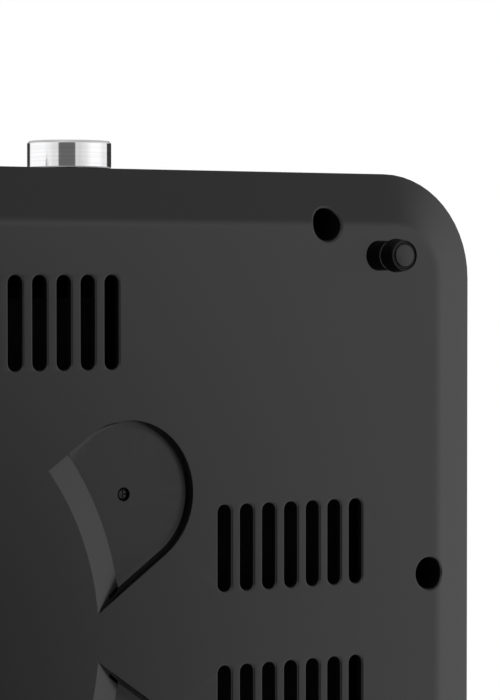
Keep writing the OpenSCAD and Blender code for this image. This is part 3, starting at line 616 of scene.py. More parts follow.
# painted shade: the housing's inward faces keep 1.2 per cent of their colour, standing in for the shade inside
# it
BRUSHED_PANEL = Finish(
    "brushed_panel_steel", (0.62, 0.62, 0.63), 0.3, metallic=1.0, lay=Lay.BRUSHED, grain=2600,
    relief=0.000006, tone=0.03, gloss_change=0.07, streak_tone=0.05, inside=0.012,
)
TURNED_KNOB = Finish(
    "turned_knob_metal", (0.84, 0.84, 0.85), 0.09, metallic=1.0, lay=Lay.TURNED, axis=Axis.Y, grain=1900,
    relief=0.0000015, tone=0.02, gloss_change=0.03, streak_tone=0.09,
)
TRIM_STEEL = Finish(
    "polished_trim_steel", (0.68, 0.68, 0.69), 0.16, metallic=1.0, lay=Lay.TURNED, grain=1500,
    relief=0.000004, tone=0.03, streak_tone=0.03,
)
PLATE_IRON = Finish(
    "seasoned_plate_iron", (0.028, 0.028, 0.03), 0.52, specular=0.4, metallic=0.35, lay=Lay.TURNED,
    grain=1300, relief=0.00005, tone=0.22, mottle=26, gloss_change=0.1, streak_tone=0.18,
)
# painted shade: the heat shield is near-black to stand in for the shade seen through the vent slots
SHADE_BLACK_SHIELD = Finish(
    "black_lacquered_shield", (0.0016, 0.0016, 0.0016), 0.6, specular=0.03, grain=900, relief=0.00002,
    tone=0.15, gloss_change=0.08,
)
ZINC_STEEL = Finish(
    "zinc_plated_steel", (0.2, 0.205, 0.215), 0.5, metallic=1.0, grain=300, tone=0.14, mottle=60,
    gloss_change=0.1,
)
BLACK_SCREW = Finish("blackened_screw", (0.03, 0.03, 0.032), 0.42, metallic=0.8, grain=1800, tone=0.2)
COIL_SHEATH = Finish(
    "annealed_coil_sheath", (0.16, 0.12, 0.095), 0.5, metallic=0.9, grain=700, tone=0.3, mottle=50,
    gloss_change=0.12,
)
CERAMIC = Finish("glazed_bead_ceramic", (0.82, 0.8, 0.74), 0.3, grain=900, tone=0.04)
MINERAL_WOOL = Finish(
    "pressed_mineral_wool", (0.74, 0.71, 0.62), 0.9, specular=0.2, grain=900, relief=0.0003, tone=0.15,
    mottle=90,
)
CREAM_PLASTIC = Finish("cream_moulding", (0.76, 0.72, 0.62), 0.4, grain=1600, relief=0.000015, tone=0.03)
BLACK_PLASTIC = Finish(
    "fine_black_moulding", (0.012, 0.012, 0.013), 0.36, grain=2000, relief=0.000012, tone=0.12,
)
MARKER_WHITE = Finish("white_marker_paint", (0.82, 0.82, 0.8), 0.42, grain=1500, tone=0.03)
LAMP_AMBER = Finish(
    "amber_lamp_lens", (0.85, 0.16, 0.02), 0.14, transmission=0.55, coat=0.4, grain=700, tone=0.06,
)
BRASS = Finish("drawn_brass", (0.72, 0.5, 0.2), 0.28, metallic=1.0, grain=1500, relief=0.000008, tone=0.1)
# painted shade: the wiring's sleeves are near-black to stand in for the shade seen through the vent slots
SHADE_DARK_WIRE_SLEEVE = Finish(
    "silicone_wire_sleeve", (0.012, 0.012, 0.013), 0.6, specular=0.2, grain=1200, relief=0.00002, tone=0.06,
)
EARTH_SLEEVE = Finish("green_wire_sleeve", (0.13, 0.4, 0.14), 0.48, grain=1200, relief=0.00002, tone=0.1)
LAMP_SLEEVE = Finish("ochre_wire_sleeve", (0.62, 0.5, 0.14), 0.48, grain=1200, relief=0.00002, tone=0.1)


def dress(
    piece: Piece, material: Material, body: str, nodes: Sequence[str], crease: float = 35.0,
) -> None:
    """Finishes a piece: its material, its shading, the body it rides on and the solids it stands for.

    Args:
        piece: The piece, at the origin.
        material: Its material.
        body: Name of its body.
        nodes: Solids that it stands for.
        crease: Least angle of an edge that stays sharp, in degrees.
    """
    piece.data.materials.clear()
    piece.data.materials.append(material)
    piece.data.shade_smooth()
    piece.data.set_sharp_from_angle(angle=math.radians(crease))
    even = piece.modifiers.new("even_shading", "WEIGHTED_NORMAL")
    even.keep_sharp = True
    even.weight = SHADING_WEIGHT
    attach(piece, body)
    if nodes:
        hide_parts(*nodes)
    solids = ", ".join(nodes) or "no solid"
    LOG.info("%s: %d faces on %s for %s", piece.name, len(piece.data.polygons), body, solids)


# ---- Sub-assemblies ----


@dataclass
class BasePan:
    """Black base pan with vents, screw wells and ramped recesses."""

    corner_r: float = 37.0
    rim_w: float = 18.0
    rim_h: float = 7.0
    rim_fillet: float = 10.0
    slot_w: float = 5.2
    slot_count: int = 7
    front_slot_l: float = 31.4
    front_slot_pitch: float = 9.05
    front_slot_x: float = 71.3
    front_slot_y: float = 105.0
    side_slot_l: float = 29.6
    side_slot_pitch: float = 9.0
    side_slot_x: float = 169.5
    side_slot_y: float = 27.5
    slot_lip: float = 0.7
    well_d: float = 11.2
    well_lip: float = 1.0
    corner_well_x: float = 65.3
    corner_well_y: float = 18.2
    side_well_x: float = 21.7
    side_well_y: float = 14.4
    lip_steps: int = 7
    crease: float = 15.0
    ledge: float = 0.04
    recess_r: float = 25.1
    recess_depth: float = 3.6
    recess_x: float = 104.8
    recess_y: float = 47.2
    recess_angle: float = 35.5
    ramp_r: float = 93.2
    ramp_w: float = 10.4
    plug_w: float = 2.1
    slit_share: float = 0.42
    plug_t: float = 1.2
    plug_lead: float = 0.4
    plug_steps: int = 8
    overlap: float = 0.3
    gutter_w: float = 1.15
    gutter_deep: float = 0.9
    bead_w: float = 1.7
    bead_h: float = 0.3
    rim_steps: int = 60
    lip_facets: int = 72
    half_w: float = field(init=False)
    half_d: float = field(init=False)
    floor_z: float = field(init=False)

    def __post_init__(self) -> None:
        """Measures the solid."""
        low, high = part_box("base_pan")
        self.half_w, self.half_d, self.floor_z = high.x / MM, high.y / MM, low.z / MM

    def build(self) -> None:
        """Builds the pan."""
        pan = merged_copy("base_pan", "moulded_base_pan")
        for sx, sy in QUARTERS:
            carve(pan, self.ramp_plug(sx, sy, -1, self.ramp_w + self.overlap), "UNION")
            carve(pan, self.ramp_plug(sx, sy, 1, self.ramp_w * (1 - self.slit_share)), "UNION")
            carve(pan, self.recess_rim(sx, sy, self.bead_section()), "UNION")
            carve(pan, self.recess_rim(sx, sy, self.gutter_section()))
        carve(pan, self.slot_lips(self.front_slots(), self.front_slot_l))
        carve(pan, self.slot_lips(self.side_slots(), self.side_slot_l))
        for x, y in self.wells():
            carve(pan, self.well_lip_tool(x, y))
        dress(pan, SATIN_SHELL.build(), "body", ["base_pan"], crease=self.crease)

    def recess_axes(self, sx: int, sy: int) -> tuple[Vector, Vector, Vector]:
        """Frame of one recess, seen from above.

        Args:
            sx: Sign of the recess's X.
            sy: Sign of the recess's Y.

        Returns:
            Its middle, its way to the ramp and its way across.
        """
        turn = math.radians(self.recess_angle)
        along = Vector((-sx * math.cos(turn), -sy * math.sin(turn)))
        across = Vector((sx * math.sin(turn), -sy * math.cos(turn)))
        return Vector((sx * self.recess_x, sy * self.recess_y)), along, across

    def ramp_plug(self, sx: int, sy: int, end: int, reach: float) -> Piece:
        """Sliver that joins one end of a ramp to the side wall of its recess.

        Args:
            sx: Sign of the recess's X.
            sy: Sign of the recess's Y.
            end: 1 for the end towards the middle line, -1 for the other.
            reach: How far down the ramp it goes, from the ramp's upper edge.

        Returns:
            The sliver.
        """
        start, along, across = self.recess_axes(sx, sy)
        layers = []
        for k in range(self.plug_steps + 1):
            radius = self.ramp_r - self.plug_lead + (reach + self.plug_lead) * k / self.plug_steps
            down = (radius - self.ramp_r) * self.recess_depth / self.ramp_w
            feet = [start + across * end * (self.recess_r - inset) for inset in (-self.overlap, self.plug_w)]
            (ax, ay), (bx, by) = (moved_to_circle(foot, along, radius) for foot in feet)
            low = self.floor_z + max(down, 0.0) + self.ledge
            high = low + self.plug_t
            layers.append([(ax, ay, low), (bx, by, low), (bx, by, high), (ax, ay, high)])
        return stacked("ramp_plug", layers)

    def bead_section(self) -> Profile:
        """Distance from the recess's wall and height over its floor of the low bead beside the gutter."""
        inner = self.gutter_w + self.bead_w
        return [
            (inner, 0.02), (self.gutter_w, -self.bead_h),
            (self.gutter_w, self.overlap), (inner, self.overlap),
        ]

    def gutter_section(self) -> Profile:
        """Distance from the recess's wall and height over its floor of the gutter along the wall."""
        inner, deep = self.gutter_w, self.gutter_deep
        return [(inner, -0.5), (-0.05, -0.5), (-0.05, deep), (inner, deep)]

    def recess_rim(self, sx: int, sy: int, section: Profile) -> Piece:
        """Solid that follows the wall round a recess's flat floor.

        Args:
            sx: Sign of the recess's X.
            sy: Sign of the recess's Y.
            section: Distance from the wall and height over the recess's floor of each corner.

        Returns:
            The solid.
        """
        start, along, across = self.recess_axes(sx, sy)
        end_r = self.ramp_r + self.ramp_w + 0.2
        ends = (-1, self.rim_steps + 1)
        layers = []
        for k in range(ends[0], ends[1] + 1):
            arc = math.radians(180 * min(max(k, 0), self.rim_steps) / self.rim_steps)
            out = across * math.cos(arc) - along * math.sin(arc)
            layer = []
            for inset, height in section:
                foot = start + out * (self.recess_r - inset)
                if k in ends:
                    foot = moved_to_circle(foot, along, end_r)
                layer.append((foot.x, foot.y, self.floor_z + self.recess_depth + height))
            layers.append(layer)
        return stacked("recess_rim", layers)

    def wells(self) -> list[tuple[float, float]]:
        """Middles of the six screw wells."""
        x, y = self.half_w - self.corner_well_x, self.half_d - self.corner_well_y
        corners = [(sx * x, sy * y) for sx, sy in QUARTERS]
        return corners + [(sx * (self.half_w - self.side_well_x), -self.side_well_y) for sx in (-1, 1)]

    def front_slots(self) -> list[Corner]:
        """Middles of the slots in the front and rear groups."""
        return self.slot_rows(self.front_slot_x, self.front_slot_y, self.front_slot_pitch)

    def side_slots(self) -> list[Corner]:
        """Middles of the slots in the side groups."""
        return self.slot_rows(self.side_slot_x, self.side_slot_y, self.side_slot_pitch)

    def slot_rows(self, x: float, y: float, pitch: float) -> list[Corner]:
        """Middles of four groups of slots, at (+-x, +-y)."""
        steps = [(i - (self.slot_count - 1) / 2) * pitch for i in range(self.slot_count)]
        return [(sx * x + step, sy * y, self.floor_z) for sx, sy in QUARTERS for step in steps]

    def lip_layers(self, lip: float) -> Profile:
        """Offset and height of each layer of a tool that rounds a lip, from below the pan upwards."""
        layers = [(lip, -1.0)]
        for k in range(self.lip_steps + 1):
            turn = math.radians(90 * k / self.lip_steps)
            layers.append((lip * (1 - math.sin(turn)) + self.ledge, lip * (1 - math.cos(turn))))
        return layers + [(-0.4, lip + 0.001)]

    def slot_lips(self, middles: list[Corner], length: float) -> Piece:
        """Tool that rounds the lips of a set of slots.

        Args:
            middles: Middles of the slots.
            length: Length of a slot.

        Returns:
            One tool for all of them.
        """
        straight = (length - self.slot_w) / 2
        layers = []
        for offset, height in self.lip_layers(self.slot_lip):
            radius = self.slot_w / 2 + offset
            arc = [math.radians(180 * k / 20) for k in range(21)]
            layer = [(radius * math.cos(a), straight + radius * math.sin(a), height) for a in arc]
            layers.append(layer + [(-x, -y, z) for x, y, z in layer])
        template = stacked("slot_lip", layers)
        tool = spread_tree("slot_lips").make(middles, {"Template": template, "Seed": 1}, upright(0, 0))
        bpy.data.objects.remove(template)
        return tool

    def underside(self, x: float, y: float) -> float:
        """Height of the pan's underside over its flat floor at a point."""
        beyond = (abs(x) - self.half_w + self.corner_r, abs(y) - self.half_d + self.corner_r)
        reach = math.hypot(*beyond) if min(beyond) > 0 else max(beyond)
        slope = math.atan2(self.rim_h, self.rim_w)
        run = self.rim_fillet * math.tan(slope / 2)
        out = reach - (self.corner_r - self.rim_w)
        if out <= -run:
            return 0.0
        if out >= run * math.cos(slope):
            return out * math.tan(slope)
        return self.rim_fillet - math.sqrt(self.rim_fillet**2 - (out + run) ** 2)

    def well_lip_tool(self, x: float, y: float) -> Piece:
        """Tool that rounds the lip of the well at a point, and follows the sloping rim.

        Args:
            x: Middle of the well.
            y: Middle of the well.

        Returns:
            The tool.
        """
        layers = []
        for offset, height in self.lip_layers(self.well_lip):
            radius = self.well_d / 2 + offset
            layer = []
            for k in range(self.lip_facets):
                turn = 2 * math.pi * k / self.lip_facets
                px, py = x + radius * math.cos(turn), y + radius * math.sin(turn)
                layer.append((px, py, self.floor_z + height + self.underside(px, py)))
            layers.append(layer)
        return stacked("well_lip", layers)


@dataclass
class Feet:
    """Four plugged-in rubber feet: collar, narrow waist, thick ring and grooved tip with a hard inset."""

    ring_r: float = 5.9
    tip_r: float = 5.2
    face_r: float = 3.8
    waist_r: float = 4.4
    collar_r: float = 5.1
    stem_r: float = 3.0
    height: float = 16.0
    plug_h: float = 5.5
    ring_top: float = 6.2
    waist_h: float = 2.0
    groove_deep: float = 1.0
    sunk: float = 0.04
    facets: int = 96

    def outline(self) -> Profile:
        """Half section of a foot, from its end face up to its plug."""
        face, tip, deep, sunk = self.face_r, self.tip_r, self.groove_deep, self.sunk
        collar_z, catch_z = self.ring_top + self.waist_h, self.height + 2.55
        return rounded([
            (0, sunk, 0), (face - 0.05, sunk, 0.1), (face, deep, 0.1), (face + 0.4, deep, 0.1),
            (face + 0.5, 0.45 * deep, 0.08), (face + 0.68, 0.45 * deep, 0.08), (face + 0.78, deep, 0.08),
            (tip - 0.32, deep, 0.1), (tip - 0.22, sunk, 0.05), (tip, sunk, 0.05), (tip + 0.2, 0.5, 0.25),
            (self.ring_r, self.ring_top - 0.7, 0.6), (self.ring_r - 0.15, self.ring_top, 0.25),
            (self.waist_r, self.ring_top + 0.1, 0.1), (self.waist_r, collar_z, 0.1),
            (self.collar_r, collar_z, 0.12),
            (self.collar_r + 0.2, self.height, 0), (self.stem_r, self.height, 0), (self.stem_r, catch_z, 0),
            (self.stem_r + 0.8, catch_z, 0.2), (self.stem_r - 0.6, self.height + self.plug_h, 0.3),
            (0, self.height + self.plug_h, 0),
        ], closed=False, steps=3)

    def inset(self, name: str, place: Matrix) -> Piece:
        """Hard inset of a foot: a disc in the end face and three fine rings.

        Args:
            name: Name of the piece.
            place: Place of the foot.

        Returns:
            The inset.
        """
        disc = [(0, 0, 0), (self.face_r, 0, 0.1), (self.face_r, 0.8, 0), (0, 0.8, 0)]
        piece = lathe(name, rounded(disc, closed=False, steps=3), place, facets=self.facets)
        collar_z = self.ring_top + self.waist_h
        for inner, outer, low in (
            (self.tip_r - 0.2, self.tip_r - 0.02, 0.0),
            (self.face_r + 0.53, self.face_r + 0.65, 0.45 * self.groove_deep - self.sunk),
            (self.collar_r - 0.23, self.collar_r - 0.05, collar_z - self.sunk),
        ):
            ring = [(inner, low), (outer, low), (outer, low + 0.2), (inner, low + 0.2)]
            carve(piece, lathe(f"{name}_ring", ring, place, closed=True, facets=self.facets), "UNION")
        return piece

    def build(self) -> None:
        """Builds the four feet."""
        rubber, hard = FOOT_RUBBER.build(), FOOT_INSET.build()
        for end in ("front", "rear"):
            for side in Side:
                node = f"foot_{end}_{side.word}"
                middle = centre_of(node)
                place = upright(middle.x, middle.y)
                foot = lathe(f"rubber_{node}", self.outline(), place, facets=self.facets)
                inset = self.inset(f"inset_{node}", place)
                for piece, finish, solids in ((foot, rubber, [node]), (inset, hard, [])):
                    piece.visible_glossy = False
                    dress(piece, finish, "body", solids)


@dataclass
class BaseScrews:
    """Pan-head screws in the wells and in the recesses, each turned a little differently."""

    pan: BasePan
    thread_d: float = 4.0
    recess_thread_d: float = 2.5

    def screw(self, thread: float, head: float, tall: float, length: float) -> Piece:
        """One screw that points up, with its head's seat at height 0.

        Args:
            thread: Diameter of the thread.
            head: Diameter of the head.
            tall: Height of the head.
            length: Length below the head.

        Returns:
            The screw, as a template.
        """
        outline = rounded([
            (0, -tall, 0), (0.32 * head, -0.95 * tall, 0.2), (head / 2, -0.35 * tall, 0.12),
            (head / 2, 0, 0.1),
            (thread / 2, 0, 0), (thread / 2, length - 0.5, 0), (0.3 * thread, length, 0), (0, length, 0),
        ], closed=False, steps=2)
        piece = lathe("screw_template", outline, Matrix.Identity(4), facets=32)
        for turn in (0, 90):
            half, wide = 0.3 * head, 0.07 * head
            ring = ((-half, -wide), (half, -wide), (half, wide), (-half, wide))
            slot = stacked("slot", [[(x, y, z) for x, y in ring] for z in (-tall - 1, -0.45 * tall)])
            slot.data.transform(Matrix.Rotation(math.radians(turn), 4, "Z"))
            carve(piece, slot)
        return piece

    def build(self) -> None:
        """Builds both sets of screws."""
        blackened = BLACK_SCREW.build()
        wells = [(x, y, 0) for x, y in self.pan.wells()]
        recesses = [(sx * self.pan.recess_x, sy * self.pan.recess_y, 0) for sx, sy in QUARTERS]
        for name, node, points, thread, head, tall, seed in (
            ("base_screw_set", "base_screws", wells, self.thread_d, 2.0, 0.7, 4),
            ("recess_screw_set", "shield_screws", recesses, self.recess_thread_d, 1.7, 0.6, 9),
        ):
            low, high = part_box(node)
            seat = low.z / MM + tall * thread
            template = self.screw(thread, head * thread, tall * thread, high.z / MM - seat)
            values = {"Template": template, "Turn": math.pi / 2, "Seed": seed, "Finish": blackened}
            screws = spread_tree(name).make(points, values, upright(0, 0, seat))
            bpy.data.objects.remove(template)
            dress(screws, blackened, "body", [node])


@dataclass
class Housing:
    """Brushed steel top housing and the printed marks round its knobs."""

    mark_in: float = 15.6
    mark_out: float = 17.4
    mark_w: float = 0.55
    mark_t: float = 0.06
    marks: int = 7
    first_turn: float = 62.0
    last_turn: float = 270.0
    growth: float = 0.22

    def build(self) -> None:
        """Builds the housing and its marks."""
        shell = merged_copy("top_housing", "brushed_top_housing")
        dress(shell, BRUSHED_PANEL.build(), "body", ["top_housing"], crease=30)
        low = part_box("top_housing")[0] / MM
        ink = BLACK_PLASTIC.build()
        for side in Side:
            knob = centre_of(f"{side.word}_knob")
            template = self.mark()
            step = -math.radians((self.last_turn - self.first_turn) / (self.marks - 1))
            values = {
                "Template": template, "Start": -math.radians(self.first_turn), "Step": step,
                "Growth": self.growth, "Finish": ink,
            }
            place = facing(knob.x, low.y, knob.z, 90)
            marks = fan_tree(f"{side.word}_dial_marks").make([(0, 0, 0)] * self.marks, values, place)
            bpy.data.objects.remove(template)
            dress(marks, ink, "body", [])

    def mark(self) -> Piece:
        """One printed mark, at the top of the dial and half sunk in the skirt."""
        half = self.mark_w / 2
        ends = ((-half, self.mark_in), (half, self.mark_in), (half, self.mark_out), (-half, self.mark_out))
        layers = [[(x, y, z) for x, y in ends] for z in (-self.mark_t, self.mark_t)]
        return stacked("mark", layers)


@dataclass
class Burner:
    """One burner: a turned iron plate and its trim ring."""

    side: Side
    lap: float = 2.5
    dimple_d: float = 40.0
    dimple_depth: float = 2.0
    plate_t: float = 8.0
    casting_h: float = 22.0
    casting_wall: float = 6.0
    hub_r: float = 24.0
    stud_bore: float = 4.05
    stud_deep: float = 9.05
    groove_pitch: float = 2.4
    groove_deep: float = 0.22
    trim_w: float = 9.0
    trim_h: float = 2.4
    facets: int = 180
    x: float = field(init=False)
    radius: float = field(init=False)
    face_z: float = field(init=False)
    panel_z: float = field(init=False)

    def __post_init__(self) -> None:
        """Measures the solids."""
        low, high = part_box(f"{self.side.word}_hotplate")
        self.x = centre_of(f"{self.side.word}_hotplate").x
        self.radius, self.face_z = (high.x - low.x) / MM / 2, high.z / MM
        self.panel_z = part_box("top_housing")[1].z / MM

    def build(self) -> None:
        """Builds the plate and the ring."""
        word, place, axis = self.side.word, upright(self.x, 0), Vector((self.x, 0, 0))
        plate = lathe(f"{word}_turned_plate", self.plate_outline(), place, facets=self.facets)
        dress(plate, PLATE_IRON.build(axis), "body", [f"{word}_hotplate"], crease=40)
        ring = lathe(f"{word}_pressed_trim_ring", self.ring_outline(), place, closed=True, facets=self.facets)
        dress(ring, TRIM_STEEL.build(axis), "body", [f"{word}_trim_ring"], crease=40)

    def plate_outline(self) -> Profile:
        """Half section of the casting, with the turned grooves of its cooking face."""
        face, radius = self.face_z, self.radius
        body = radius - self.lap
        under = face - self.casting_h
        lap_z = self.panel_z + self.trim_h
        dimple = self.dimple_d / 2
        top: list[Corner] = [
            (0, face - self.dimple_depth, 0), (dimple - self.dimple_depth, face - self.dimple_depth, 1.0),
            (dimple, face, 0.8),
        ]
        at = dimple + 2.0
        while at < radius - 4.5:
            top += [(at, face, 0), (at + 0.35, face - self.groove_deep, 0), (at + 0.7, face, 0)]
            at += self.groove_pitch
        rim: list[Corner] = [
            (radius - 1.6, face, 0.9), (radius, face - 1.8, 1.4), (radius, lap_z, 0.5), (body, lap_z, 0.3),
            (body, under, 0.6), (body - self.casting_wall, under, 0.5),
            (body - self.casting_wall, face - self.plate_t, 1.5), (self.hub_r, face - self.plate_t, 1.5),
            (self.hub_r, under, 0.5), (self.stud_bore, under, 0.3),
            (self.stud_bore, under + self.stud_deep, 0), (0, under + self.stud_deep, 0),
        ]
        return rounded(top + rim, closed=False, steps=4)

    def ring_outline(self) -> Profile:
        """Section of the trim ring: a flange on the panel, a rolled rise and a lip at the plate."""
        r, panel = self.radius - self.lap + 0.2, self.panel_z
        return rounded([
            (r, panel - 5, 0.3), (r + 1, panel - 5, 0.3), (r + 1, panel, 0), (r + self.trim_w, panel, 0),
            (r + self.trim_w, panel + 0.55, 0.25), (r + self.trim_w - 1, panel + 0.95, 0.5),
            (r + 0.58 * self.trim_w, panel + 1.0, 1.2), (r + 0.34 * self.trim_w, panel + self.trim_h, 0.8),
            (r, panel + self.trim_h, 0.35),
        ], closed=True, steps=4)


@dataclass
class Control:
    """One control: a turned metal knob with its white marker, and its indicator lamp."""

    side: Side
    wall: float = 1.4
    edge: float = 0.85
    marker_w: float = 1.4
    marker_in: float = 4.0
    marker_t: float = 0.5
    lens_r: float = 3.5
    lens_deep: float = 8.0
    skirt: float = field(init=False)
    middle: Vector = field(init=False)
    radius: float = field(init=False)
    reach: float = field(init=False)
    gap: float = field(init=False)

    def __post_init__(self) -> None:
        """Measures the solids."""
        word = self.side.word
        low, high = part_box(f"{word}_knob")
        self.skirt = -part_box("top_housing")[0].y / MM
        self.middle = centre_of(f"{word}_knob")
        self.radius = (high.x - low.x) / MM / 2
        self.reach, self.gap = -low.y / MM - self.skirt, -high.y / MM - self.skirt

    def build(self) -> None:
        """Builds the knob, the marker and the lamp."""
        word, turning = self.side.word, self.side.control
        place = facing(self.middle.x, -self.skirt, self.middle.z, 90)
        knob = lathe(f"{word}_turned_knob", self.knob_outline(), place, facets=192)
        carve(knob, self.marker_block("marker_groove", place, 0.03, 1.0))
        dress(knob, TURNED_KNOB.build(self.middle), turning, [f"{word}_knob"], crease=30)
        marker = self.marker_block(f"{word}_painted_marker", place, -0.03, -0.05)
        dress(marker, MARKER_WHITE.build(), turning, [f"{word}_knob_marker"])
        lamp = centre_of(f"{word}_lamp_lens")
        place = facing(lamp.x, -self.skirt, lamp.z, 90)
        lens = lathe(f"{word}_domed_lamp_lens", self.lens_outline(), place, facets=64)
        dress(lens, LAMP_AMBER.build(), "body", [f"{word}_lamp_lens"])

    def knob_outline(self) -> Profile:
        """Half section of the knob's cap, from inside its face round to its middle."""
        r, face = self.radius, self.reach
        rings: list[Corner] = []
        at = r - 3.2
        while at > 1.0:
            rings += [(at, face - 0.08, 0), (at - 0.2, face - 0.13, 0), (at - 0.4, face - 0.08, 0)]
            at -= 0.9
        return rounded([
            (0, face - self.wall, 0), (r - self.wall, face - self.wall, 0.3), (r - self.wall, self.gap, 0.1),
            (r - 0.35, self.gap, 0.1), (r, self.gap + 0.35, 0.15), (r, face - self.edge, 0.25),
            (r - self.edge, face, 0.2), (r - 2.2, face, 0.1), (r - 2.6, face - 0.08, 0),
            *rings, (0, face - 0.08, 0),
        ], closed=False, steps=4)

    def marker_block(self, name: str, place: Matrix, grow: float, over: float) -> Piece:
        """Bar with round ends that lies in the knob's face.

        Args:
            name: Name of the piece.
            place: Place of the knob.
            grow: How much larger than the marker it is, all round.
            over: Height over the knob's face.

        Returns:
            The bar.
        """
        half = self.marker_w / 2 + grow
        start, end = self.marker_in + half - grow, self.radius - 2.0 - half + grow
        arc = [math.radians(180 * k / 12) for k in range(13)]
        ring = [(half * math.cos(a), end + half * math.sin(a)) for a in arc]
        ring += [(-half * math.cos(a), start - half * math.sin(a)) for a in arc]
        bottom = self.reach - self.marker_t - grow
        layers = [[(x, y, z) for x, y in ring] for z in (bottom, self.reach + over)]
        bar = stacked(name, layers)
        bar.data.transform(place)
        return bar

    def lens_outline(self) -> Profile:
        """Half section of the lamp's lens: a stem, a flange and a dome."""
        r = self.lens_r
        angles = [math.radians(9 * k) for k in range(1, 10)]
        dome = [(r * math.cos(a), 1.0 + 1.05 * math.sin(a)) for a in angles]
        return rounded([
            (0, -self.lens_deep, 0), (r, -self.lens_deep, 0.3), (r, 0, 0), (r + 1.2, 0, 0.1),
            (r + 1.2, 0.65, 0.3), (r + 0.15, 0.9, 0.1), *((x, y, 0) for x, y in dome), (0, 2.05, 0),
        ], closed=False, steps=4)


@dataclass
class CordBush:
    """Black grommet at the rear: a flange against the skirt and a ribbed, tapered nozzle."""

    bore: float = 3.6
    wall: float = 3.4
    sheet: float = 0.8
    reach: float = 10.0
    ribs: int = 4

    def build(self) -> None:
        """Builds the bush."""
        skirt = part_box("top_housing")[1].y / MM
        middle = centre_of("cord_bush")
        place = facing(middle.x, skirt, middle.z, -90)
        bush = lathe("ribbed_cord_bush", self.outline(), place, closed=True, facets=72)
        dress(bush, BLACK_PLASTIC.build(), "body", ["cord_bush"], crease=40)

    def outline(self) -> Profile:
        """Section of the bush, along its axis."""
        r, seat = self.bore, self.bore + self.wall
        corners: list[Corner] = [
            (r, -self.sheet - 3, 0.2), (seat + 1.6, -self.sheet - 3, 0.3), (seat + 2, -self.sheet, 0.1),
            (seat, -self.sheet, 0), (seat, 0, 0), (seat + 2, 0, 0.1), (seat + 2, 1.9, 0.5),
            (seat - 0.4, 2.4, 0.3),
        ]
        span = self.reach - 3.2
        for k in range(self.ribs):
            z = 2.7 + span * k / self.ribs
            out = seat - 0.2 - 1.9 * k / self.ribs
            corners += [
                (out - 0.7, z, 0.12), (out - 0.7, z + 0.5, 0.12),
                (out - 0.1, z + 0.6, 0.15), (out - 0.2, z + 1.4, 0.2),
            ]
        return rounded(corners + [(r + 1, self.reach, 0.3), (r, self.reach, 0.3)], closed=True, steps=2)


def both(*names: str) -> tuple[str, ...]:
    """Names of the left and the right copy of each solid."""
    return tuple(f"{side.word}_{name}" for name in names for side in Side)


class Insides:
    """The solids that stay as they are, behind the housing and the pan."""

    KEPT: dict[Finish, tuple[str, ...]] = {
        # painted shade: the heat shield and the wiring are near-black, for the shade behind the vent slots
        SHADE_BLACK_SHIELD: ("heat_shield",),
        ZINC_STEEL: (
            "mounting_brackets", "clamp_nuts", "block_screws", "regulator_screws",
            *both("plate_cover", "centre_stud", "clamp_bar", "control_shaft"),
        ),
        COIL_SHEATH: both("heating_coil"),
        CERAMIC: both("lead_beads", "thermal_cutout"),
        MINERAL_WOOL: both("insulation_pad"),
        CREAM_PLASTIC: (*both("regulator", "lamp_holder"), "terminal_block"),
        BLACK_PLASTIC: both("knob_hub"),
        BRASS: ("terminal_screws", "earth_stud"),
        SHADE_DARK_WIRE_SLEEVE: both("wiring"),
        EARTH_SLEEVE: ("supply_wiring",),
        LAMP_SLEEVE: ("lamp_wiring",),
    }

    def build(self, nodes: dict[str, Piece]) -> None:
        """Gives each kept solid its finish.

        Args:
            nodes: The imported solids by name.
        """
        for finish, names in self.KEPT.items():
            material = finish.build()
            for name in names:
                for holder in nodes[name].material_slots:
                    holder.material = material
                LOG.info("%s: solid kept, in %s", name, material.name)


# ---- Studio ----


@dataclass(frozen=True)
class SoftPanel:
    """A soft patch of the studio's light, seen from the object as a round cap or a narrow strip.

    The angles say where the patch is full and where it has faded out, in degrees from its middle.
    A patch that is squeezed is that many times narrower along Y.
    """

    toward: tuple[float, float, float]
    inner: float
    outer: float
    level: float
    squeeze: float = 1.0


